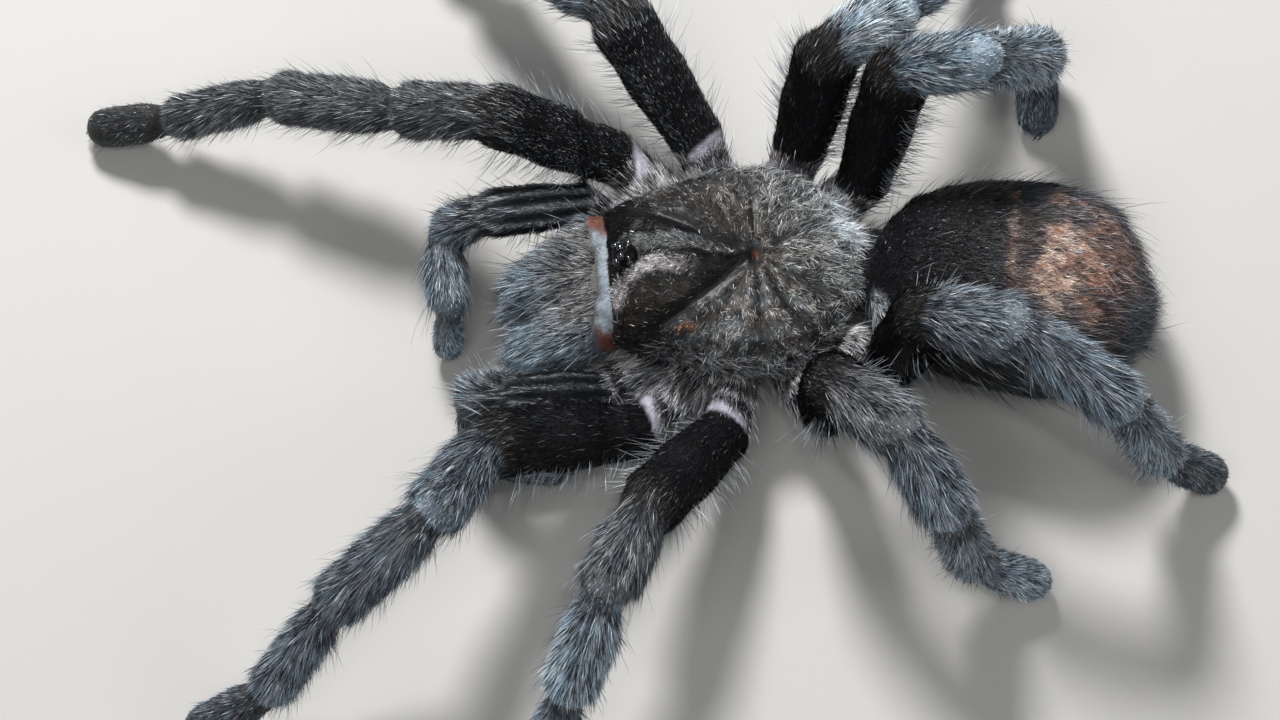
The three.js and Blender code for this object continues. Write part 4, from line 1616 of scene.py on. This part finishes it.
def grow_velvet(strands, limb, part, dice):
    """Short black velvet on a femur, with loose rows of pale specks."""
    sizes = coat_sizes()
    roots = scatter(part, sizes.velvet_density * thinning(), dice)
    fields = limb.fields(roots.place)
    marks = limb_marks(limb, fields)
    bare = np.maximum(marks["crescent"], marks["spots"])
    below = 0.4 * (np.abs(fields["around"]) > BELOW)
    chance = dice.random(len(roots.place))
    knee = (fields["which"] == 1) & (fields["near"] < (0.1 + 0.5 * dice.random(len(chance))) * MM)
    kept = ((fields["which"] == 0) | knee) & (chance > np.maximum(bare, below))
    roots, fields = roots.keep(kept), only(fields, kept)
    around = np.abs(fields["around"])
    length = limb_lengths(limb, fields)
    tip = limb_colour(limb, fields, roots.place)
    tip = np.where((fields["which"] == 0)[:, None], tip, colour("velvet") * 2.5)
    chance = dice.random(len(length))
    line = np.maximum(hump(around, 36, 4), hump(around, 66, 4)) * grain(roots.place, 1.2 * MM, 33)
    knee = ease(3.0 * MM, 0.5 * MM, fields["far"]) * (fields["which"] == 0)
    frosted = limb.name in SPECKLED
    many = 0.22 + 0.33 * hump(around, 58, 14) if frosted else 0.02
    pale = (chance < np.maximum(many, 0.14 * knee)) | (chance < 0.12 * line)
    glitter = (1.2 if frosted else 0.5) * dice.random((len(length), 1)) ** 2.5
    speck = colour("silver") * (0.06 + glitter)
    black = mixed(tip * (1.5 if frosted else 1.2), colour("umber") * 0.14, knee)
    tip = np.where(pale[:, None], speck, black)
    length = np.where(pale & (knee < 0.1), (0.8 if frosted else 0.45) * length, length)
    heading = clumped(roots, limb_heading(limb, fields), 0.9 * MM, 40, 0.10)
    root = np.where(pale[:, None], tip, tip * 0.6)
    look = look_of(length, 16.0 + 12 * ease(80, 130, around), root, tip, sparkle=0.7)
    strands.grow(roots, heading, look, dice, rings=1)
    chosen = np.flatnonzero(dice.random(len(length)) < 0.04)
    long_tip = mixed(colour("charcoal") * 2, colour("silver") * 0.35, dice.random(len(chosen)) ** 3)
    look = look_of(sizes.velvet * 1.7, 20.0, colour("velvet"), long_tip, spread=9.0)
    strands.grow(roots.keep(chosen), heading[chosen], look, dice)


def grow_limb(strands, limb, part, dice):
    """Long soft hair on the segments beyond the femur."""
    sizes = coat_sizes()
    roots = scatter(part, sizes.density * thinning(), dice)
    fields = limb.fields(roots.place)
    marks = limb_marks(limb, fields)
    bare = np.maximum(0.6 * marks["spots"], 0.6 * marks["stripes"])
    below = 0.35 * (np.abs(fields["around"]) > BELOW)
    palp_femur = (fields["which"] == 0) & (limb.kind == "palp")
    kept = (fields["which"] > 0) | palp_femur
    crowd = 0.62 + 0.38 * ease(2.0 * MM, 0.4 * MM, fields["near"])
    kept &= dice.random(len(roots.place)) < crowd * (1 - np.maximum(bare, below))
    roots, fields = roots.keep(kept), only(fields, kept)
    which, around = fields["which"], np.abs(fields["around"])
    length = limb_lengths(limb, fields)
    tip = limb_colour(limb, fields, roots.place)
    foot = which == len(limb.segments) - 1
    lift = np.where(foot, 13.0, 16.0) + 16 * ease(80, 140, around)
    lift = lift - 6 * hump(fields["far"], 0.0, 1.5 * MM)
    if limb.kind == "palp" and limb.side == "left":
        lift = np.where(which == 1, 48.0, lift)
    tip = darkened(tip, roots.place, 0.36, dice)
    tip = silvered(tip, 0.10 * (tip.max(1) > 0.05), dice)
    heading = clumped(roots, limb_heading(limb, fields), 0.9 * MM, 40, 0.13)
    look = look_of(length, lift, tip * 0.22, tip, fade=0.9, stray=0.11)
    grow_coat(strands, roots, heading, look, dice, 0.22)


def grow_limb_bristles(strands, limb, part, dice):
    """Long single bristles: along the sides and undersides, with pale tips."""
    sizes = coat_sizes()
    roots = scatter(part, BRISTLE_SOWN, dice)
    fields = limb.fields(roots.place)
    which, around = fields["which"], np.abs(fields["around"])
    chance = 0.033 + 0.23 * ease(50, 95, around)
    fringe = hump(around, 108, 20) * ease(-0.5 * MM, 1.5 * MM, fields["near"])
    fringe = fringe * ease(0.8 * MM, 3.0 * MM, fields["far"])
    fringe = (1.0 if limb.name in FRINGED else 0.42) * fringe
    last = len(limb.segments) - 1
    chance = np.where(which == last, 0.25 * chance, chance)
    chance = np.where(which == 0, fringe, chance)
    chosen = np.flatnonzero(dice.random(len(which)) < chance)
    picked = roots.keep(chosen)
    on_femur = which[chosen] == 0
    share = np.where(on_femur, 1.0, np.where(which[chosen] == last, 0.45, 0.9))
    length = sizes.bristle * share * dice.uniform(0.55, 1.1, len(chosen))
    steep, low = dice.uniform(50, 76, len(chosen)), dice.uniform(24, 54, len(chosen))
    lift = np.where(on_femur, steep, low)
    tip = mixed(colour("silver") * 0.30, colour("silver") * 0.85, dice.random(len(chosen)))
    look = look_of(
        length,
        lift,
        mixed(colour("charcoal"), tip * 0.6, 0.8 * on_femur),
        tip,
        settle=np.where(on_femur, 0.72, 0.45),
        width=0.06 * MM,
        fade=0.7,
        stray=0.14,
    )
    strands.grow(picked, limb_heading(limb, fields)[chosen], look, dice, **BRISTLE)


class TARANTULA_OT_leg_coat(bpy.types.Operator):
    """Grow the coat of the eight legs and two palps"""

    bl_idname = "tarantula.leg_coat"
    bl_label = "Coat of legs and palps"

    def execute(self, context):
        for limb in LIMBS:
            dice = dice_for(limb.name)
            part = skin_part(limb.name)
            outer = Strands()
            grow_limb(outer, limb, part, dice)
            grow_limb_bristles(outer, limb, part, dice)
            outer.make(f"coat_{limb.name}", "grey_coat", glossy_hair())
            if limb.kind != "palp":
                velvet = Strands()
                grow_velvet(velvet, limb, part, dice)
                velvet.make(f"velvet_{limb.name}", "black_coat", velvet_hair())
            bpy.data.objects.remove(part)
        return {"FINISHED"}


# ---- Coat: body ---------------------------------------------------------------------------------


def grow_abdomen(strands, part, dice):
    sizes = coat_sizes()
    roots = scatter(part, sizes.density * 0.66 * thinning(), dice)
    local = Abdomen.local(roots.place)
    kept = dice.random(len(local)) > 0.4 * ease(-0.2, -0.7, local[:, 2])
    roots, local = roots.keep(kept), local[kept]
    rear = ease(0.40, 0.95, local[:, 0])
    length = sizes.abdomen_front * (1 - rear) + sizes.abdomen_rear * rear
    rust = rust_share(roots.place)[0]
    length = length * (1 - 0.65 * rust) * (1 + 0.9 * tuft_share(roots.place))
    tip = abdomen_colour(roots.place)
    speck = dice.random(len(local)) < 0.09
    tip = np.where(speck[:, None], np.maximum(tip, colour("silver") * 0.7), tip)
    length = np.where(speck & (rear < 0.4), 0.5 * length, length)
    dark = (dice.random(len(local)) < 0.34 * (1 - 0.5 * rust))[:, None]
    tip = np.where(dark, np.minimum(tip, colour("charcoal") * 1.5), tip)
    heading = Abdomen.axis - np.array((0.0, 0.0, 0.35)) * ease(0.2, -0.3, local[:, 2])[:, None]
    lift = 16 + 24 * ease(0.75, 1.0, local[:, 0]) + 10 * ease(0.1, -0.4, local[:, 2])
    heading = clumped(roots, heading, 1.0 * MM, 50, 0.2)
    root = mixed(tip * 0.3, tip * 0.8, rust)
    look = look_of(length, lift, root, tip, settle=0.5, stray=0.16 + 0.3 * rust[:, None])
    grow_coat(strands, roots, heading, look, dice, 0.16)
    chance = 0.0005 + 0.014 * ease(0.55, 0.9, local[:, 0]) + 0.008 * ease(0.2, -0.2, local[:, 2])
    chance = chance + 0.007 * ease(0.55, 0.85, np.abs(local[:, 1]))
    chance = chance * (1 - 0.7 * rust)
    tips = (colour("umber") * 0.8, colour("silver") * 0.6)
    changes = {"settle": 0.5, "width": 0.065 * MM}
    grow_bristles(strands, roots, heading, chance, (2.4, 4.2), (22, 50), tips, dice, **changes)


def grow_shield(strands, velvet, part, dice):
    sizes = coat_sizes()
    roots = scatter(part, sizes.density * 1.15 * thinning(), dice)
    marks = shield_marks(roots.place)
    upward = ease(0.0, 0.25, roots.normal[:, 2])
    bare = 0.5 * marks["groove"]
    kept = dice.random(len(roots.place)) < upward * (1 - bare)
    roots, marks = roots.keep(kept), only(marks, kept)
    pit = Shield.place(FOVEA[0] - 0.02, 0.0, Shield.high.z)
    heading = (roots.place - pit) * (1.0, 1.0, 0.0)
    backwards = 0.35 * marks["rear"] + 1.3 * marks["rim"]
    heading = unit(heading) + np.array((1.0, 0.0, 0.0)) * backwards[:, None]
    cheeks = np.clip(marks["cheeks"], 0, 1)[:, None]
    heading = unit(heading) * (1 - cheeks) + np.array((-1.0, 0.0, 0.0)) * cheeks
    strength = 2.0 - 1.2 * marks["rear"] - 0.9 * marks["crest"] - 1.2 * marks["rim"]
    strength = np.maximum(strength, 0.6)[:, None]
    heading = clumped(roots, heading, 0.9 * MM, 60, strength)
    tuft = tuft_share(roots.place)
    ahead = marks["cheeks"] + marks["crest"]
    left = ease(0.05, -0.25, Shield.local(roots.place)[:, 1])
    stray = dice.random(len(tuft)) < (0.04 + 0.24 * left) * marks["cheeks"]
    black = (dice.random(len(tuft)) < marks["cheeks"]) & ~stray
    marks["cheeks"], marks["crest"] = ahead * (black | stray), ahead * ~(black | stray)
    tip = shield_colour(roots.place, marks)
    look = look_of(0.7 * sizes.shield, 14.0, tip[black] * 0.7, tip[black], stray=0.2)
    velvet.grow(roots.keep(black), heading[black], look, dice, rings=1)
    fine = mixed(colour("umber") * 0.15, colour("umber") * 1.1, dice.random(len(tip)) ** 2)
    tip = np.where(stray[:, None], fine, tip)
    own = ~black
    roots, heading, tip, tuft = roots.keep(own), heading[own], tip[own], tuft[own]
    marks = only(marks, own)
    # Towards the spider's right, away from the rear, more hairs are dark: painted shade. The dark
    # hairs gather in locks: partly the coat's own dark hairs, partly painted shade between the
    # locks
    upper = ease(0.0, 0.3, Shield.local(roots.place)[:, 1]) * (1 - marks["rear"])
    dark_share = 0.55 - 0.20 * marks["rear"] - 0.16 * marks["crest"] + 0.10 * upper
    locks = ease(0.40, 0.60, grain(roots.place, 0.40 * MM, 93))
    dark = dice.random(len(tip)) < dark_share * (1 - tuft) * (0.15 + 1.7 * locks)
    tip = np.where(dark[:, None], np.minimum(tip, colour("charcoal") * 0.75), tip * 2.1)
    glint = (dice.random(len(tip)) < 0.13) & ~dark
    gold = colour("umber") * 1.2 + colour("silver") * 0.55
    tip = np.where(glint[:, None], gold, tip)
    length = sizes.shield * (0.62 + 0.85 * marks["rear"] + 0.9 * marks["rim"]) * (1 + 0.5 * tuft)
    lift = 12 + 8 * marks["rim"] + 8 * tuft
    look = look_of(length, lift, tip * 0.22, tip, stray=0.34, sparkle=0.7, width=0.066 * MM)
    grow_coat(strands, roots, heading, look, dice, 0.30)
    chosen = np.flatnonzero(dice.random(len(tip)) < 0.09 * marks["rim"] / thinning())
    pale = mixed(colour("umber") * 2.2, colour("silver") * 0.8, dice.random(len(chosen)))
    length = dice.uniform(0.9, 2.1, len(chosen)) * MM
    lift = dice.uniform(5, 30, len(chosen))
    look = look_of(length, lift, pale * 0.3, pale * 0.8, width=0.065 * MM, stray=0.5)
    strands.grow(roots.keep(chosen), heading[chosen], look, dice, **BRISTLE)


def grow_jaws(strands, part, dice):
    sizes = coat_sizes()
    roots = scatter(part, sizes.density * 0.9 * thinning(), dice)
    band = band_share(roots.place)
    roots = roots.keep(dice.random(len(roots.place)) > band * 1.05)
    ahead = (Shield.low.x - roots.place[:, 0]) / MM
    side = np.sign(roots.place[:, 1] - Shield.middle)
    heading = np.stack((-np.ones(len(side)), 0.25 * side, -0.45 * ease(4, 9, ahead)), 1)
    heading = clumped(roots, heading, 0.7 * MM, 70, 0.28)
    tip = darkened(jaw_colour(roots.place), roots.place, 0.38, dice)
    tip = silvered(tip, 0.12, dice)
    length = sizes.jaw * (1 + 0.25 * ease(6, 10, ahead)) * (1 - 0.45 * ease(3.2, 1.8, ahead))
    look = look_of(length, 15.0 + 16 * ease(6, 10, ahead), tip * 0.2, tip)
    grow_coat(strands, roots, heading, look, dice, 0.25)
    creases = scatter(part, CREASES_SOWN * thinning(), dice)
    creases = creases.keep(dice.random(len(creases.place)) < band_share(creases.place))
    shade = mixed(colour("silver") * 0.20, colour("silver") * 0.95, dice.random(len(creases.place)))
    shade = shade * mixed(np.ones(3), np.array((0.62, 0.30, 0.22)), rusty_ends(creases.place))
    slanting = np.tile((0.45, -0.9, 0.0), (len(shade), 1))
    look = look_of(0.6 * MM, 5.0, shade * 0.8, shade, spread=2.0, stray=0.08, width=0.05 * MM)
    strands.grow(creases, slanting, look, dice, rings=1)
    chance = 0.003 + 0.022 * ease(7.0, 9.5, ahead)
    tips = (colour("silver") * 0.65,)
    changes = {"settle": 0.8, "width": 0.09 * MM}
    grow_bristles(strands, roots, heading, chance, (1.8, 4.2), (25, 60), tips, dice, **changes)


def coxa_heading(points):
    """Direction outwards along the nearest coxa, and how far out along it each point lies."""
    best = np.full(len(points), 9.0)
    heading = np.zeros((len(points), 3))
    share_of_best = np.zeros(len(points))
    for limb in LIMBS:
        root = limb.coxa_root()
        share, gap = near_line(points, root, limb.joints[0])
        closer = gap < best
        best[closer], share_of_best[closer] = gap[closer], share[closer]
        heading[closer] = unit(limb.joints[0] - root)
    return heading, share_of_best


def grow_underside(strands, part, dice):
    sizes = coat_sizes()
    roots = scatter(part, sizes.density * 0.70 * thinning(), dice)
    heading, share = coxa_heading(roots.place)
    above = ease(4.0 * MM, 7.0 * MM, roots.place[:, 2])
    trimmed = np.maximum(0.6 * ease(0.90, 0.94, share) * above, 2 * crescent_share(roots.place))
    kept = dice.random(len(share)) > np.maximum(0.35 * (1 - above), trimmed)
    roots, heading, share, above = roots.keep(kept), heading[kept], share[kept], above[kept]
    heading = clumped(roots, heading, 0.9 * MM, 80, 0.3)
    cloud = grain(roots.place, 1.5 * MM, 81)
    patchy = (0.22 + 1.7 * ease(0.35, 0.65, grain(roots.place, 1.0 * MM, 82)))[:, None]
    tip = mixed(colour("umber") * (3.5, 3.1, 2.9), colour("slate") * 2.6, 0.5 * cloud) * patchy
    tuft = tuft_share(roots.place)
    edge = np.maximum(hump(share, 0.91, 0.04), 0.8 * hump(share, 0.68, 0.035)) * above
    dark_band = hump(share, 0.80, 0.075) * above
    tip = darkened(tip, roots.place, 0.42, dice)
    tip = layered(
        tip, (colour("umber") * 0.10, 0.95 * dark_band), (colour("silver") * 0.9, 0.85 * edge)
    )
    tip = silvered(tip, 0.12, dice)
    tip = mixed(tip, colour("silver") * 1.7, tuft)
    short = 0.70 * hump(share, 0.76, 0.12) * above + 0.45 * ease(0.84, 0.91, share) * above
    length = sizes.coxa * (1 + 0.3 * cloud) * (1 - np.minimum(short, 0.7)) * (1 + 1.1 * tuft)
    look = look_of(length, 20.0 + 20 * tuft, mixed(tip * 0.3, tip * 0.8, tuft), tip)
    grow_coat(strands, roots, heading, look, dice, 0.25)
    tips = (colour("silver") * 0.8,)
    changes = {"width": 0.10 * MM}
    grow_bristles(strands, roots, heading, 0.012, (1.8, 3.0), (25, 55), tips, dice, **changes)


class TARANTULA_OT_body_coat(bpy.types.Operator):
    """Grow the coat of abdomen, shield, jaws and coxae"""

    bl_idname = "tarantula.body_coat"
    bl_label = "Coat of the body"

    def execute(self, context):
        regions = {
            "abdomen": (grow_abdomen, "black_coat"),
            "jaws": (grow_jaws, "grey_coat"),
            "underside": (grow_underside, "brown_coat"),
        }
        for region, (grow, slot) in regions.items():
            part = skin_part(region)
            strands = Strands()
            grow(strands, part, dice_for(region))
            bpy.data.objects.remove(part)
            strands.make(f"coat_{region}", slot, glossy_hair())
        shield = bpy.data.objects["shield"].data
        part = unwrapped_part(shield, np.ones(len(shield.polygons), bool))
        strands, velvet = Strands(), Strands()
        grow_shield(strands, velvet, part, dice_for("shield"))
        bpy.data.objects.remove(part)
        strands.make("coat_shield", "brown_coat", glossy_hair())
        velvet.make("velvet_shield", "black_coat", velvet_hair())
        return {"FINISHED"}


# ---- Studio -------------------------------------------------------------------------------------

CAMERA_AIM = Vector((-1.09, -5.16, 5.0)) * MM
SENSOR_WIDTH = 36.0
FLOOR_SIZE = 3.0
# Each light: degrees round the animal and above the horizon, distance and size in metres, watts
LIGHTS = {
    "key": (192.0, 50.0, 0.50, 0.12, 3.5),
    "front": (-30.0, 62.0, 0.60, 0.30, 0.7),
    "rim": (75.0, 35.0, 0.60, 0.30, 0.5),
    "glint": (20.0, 76.0, 0.55, 0.03, 0.3),
}


def direction(azimuth, elevation):
    flat = math.cos(elevation)
    return Vector((flat * math.sin(azimuth), -flat * math.cos(azimuth), math.sin(elevation)))


class TARANTULA_OT_studio(bpy.types.Operator):
    """Set up the pale floor, soft lights and the camera"""

    bl_idname = "tarantula.studio"
    bl_label = "Studio"

    def execute(self, context):
        floor = bmesh.new()
        bmesh.ops.create_grid(floor, x_segments=1, y_segments=1, size=FLOOR_SIZE)
        ground = object_from(floor, "floor")
        ground.data.materials.append(floor_material("studio_floor"))
        for name, (azimuth, elevation, distance, size, power) in LIGHTS.items():
            lamp = bpy.data.lights.new(name, "AREA")
            lamp.shape = "DISK"
            lamp.size = size
            lamp.energy = power
            away = direction(math.radians(azimuth), math.radians(elevation))
            holder = bpy.data.objects.new(name, lamp)
            holder.location = away * distance
            holder.rotation_euler = away.to_track_quat("Z", "Y").to_euler()
            context.scene.collection.objects.link(holder)
        world = bpy.data.worlds.new("studio")
        world.use_nodes = True
        sky = world.node_tree.nodes["Background"].inputs
        sky["Color"].default_value = (0.86, 0.92, 1.0, 1.0)
        sky["Strength"].default_value = 0.13
        context.scene.world = world
        context.scene.view_settings.view_transform = "Standard"
        self.add_camera(context)
        return {"FINISHED"}

    def add_camera(self, context):
        studio = context.scene.tarantula_studio
        lens = bpy.data.cameras.new("camera")
        lens.lens = studio.lens
        lens.sensor_width = SENSOR_WIDTH
        lens.clip_start = 10 * MM
        camera = bpy.data.objects.new("camera", lens)
        away = direction(studio.azimuth, studio.elevation)
        level = away.to_track_quat("Z", "Y").to_matrix().to_4x4()
        place = Matrix.Translation(CAMERA_AIM + away * studio.distance)
        camera.matrix_world = place @ level @ Matrix.Rotation(studio.roll, 4, "Z")
        context.scene.collection.objects.link(camera)
        context.scene.camera = camera


# ---- Add-on -------------------------------------------------------------------------------------

OPERATORS = (
    TARANTULA_OT_studio,
    TARANTULA_OT_skin,
    TARANTULA_OT_shield,
    TARANTULA_OT_eyes,
    TARANTULA_OT_fangs,
    TARANTULA_OT_claws,
    TARANTULA_OT_leg_coat,
    TARANTULA_OT_body_coat,
)


class TARANTULA_PT_panel(bpy.types.Panel):
    """Lists the steps that build the tarantula"""

    bl_label = "Tarantula"
    bl_space_type = "VIEW_3D"
    bl_region_type = "UI"
    bl_category = "Tarantula"

    def draw(self, context):
        for operator in OPERATORS:
            self.layout.operator(operator.bl_idname)
        for name, group in SETTINGS.items():
            box = self.layout.box()
            box.label(text=group.__doc__)
            for key in group.__annotations__:
                box.prop(getattr(context.scene, name), key)


def register():
    for name, group in SETTINGS.items():
        bpy.utils.register_class(group)
        setattr(bpy.types.Scene, name, bpy.props.PointerProperty(type=group))
    for made in (*OPERATORS, TARANTULA_PT_panel):
        bpy.utils.register_class(made)


def unregister():
    for made in (TARANTULA_PT_panel, *reversed(OPERATORS)):
        bpy.utils.unregister_class(made)
    for name, group in SETTINGS.items():
        delattr(bpy.types.Scene, name)
        bpy.utils.unregister_class(group)


def main():
    register()
    bpy.ops.tarantula.studio()
    bpy.ops.tarantula.skin()
    bpy.ops.tarantula.shield()
    bpy.ops.tarantula.eyes()
    bpy.ops.tarantula.fangs()
    bpy.ops.tarantula.claws()
    bpy.ops.tarantula.leg_coat()
    bpy.ops.tarantula.body_coat()


if __name__ == "__main__":
    main()
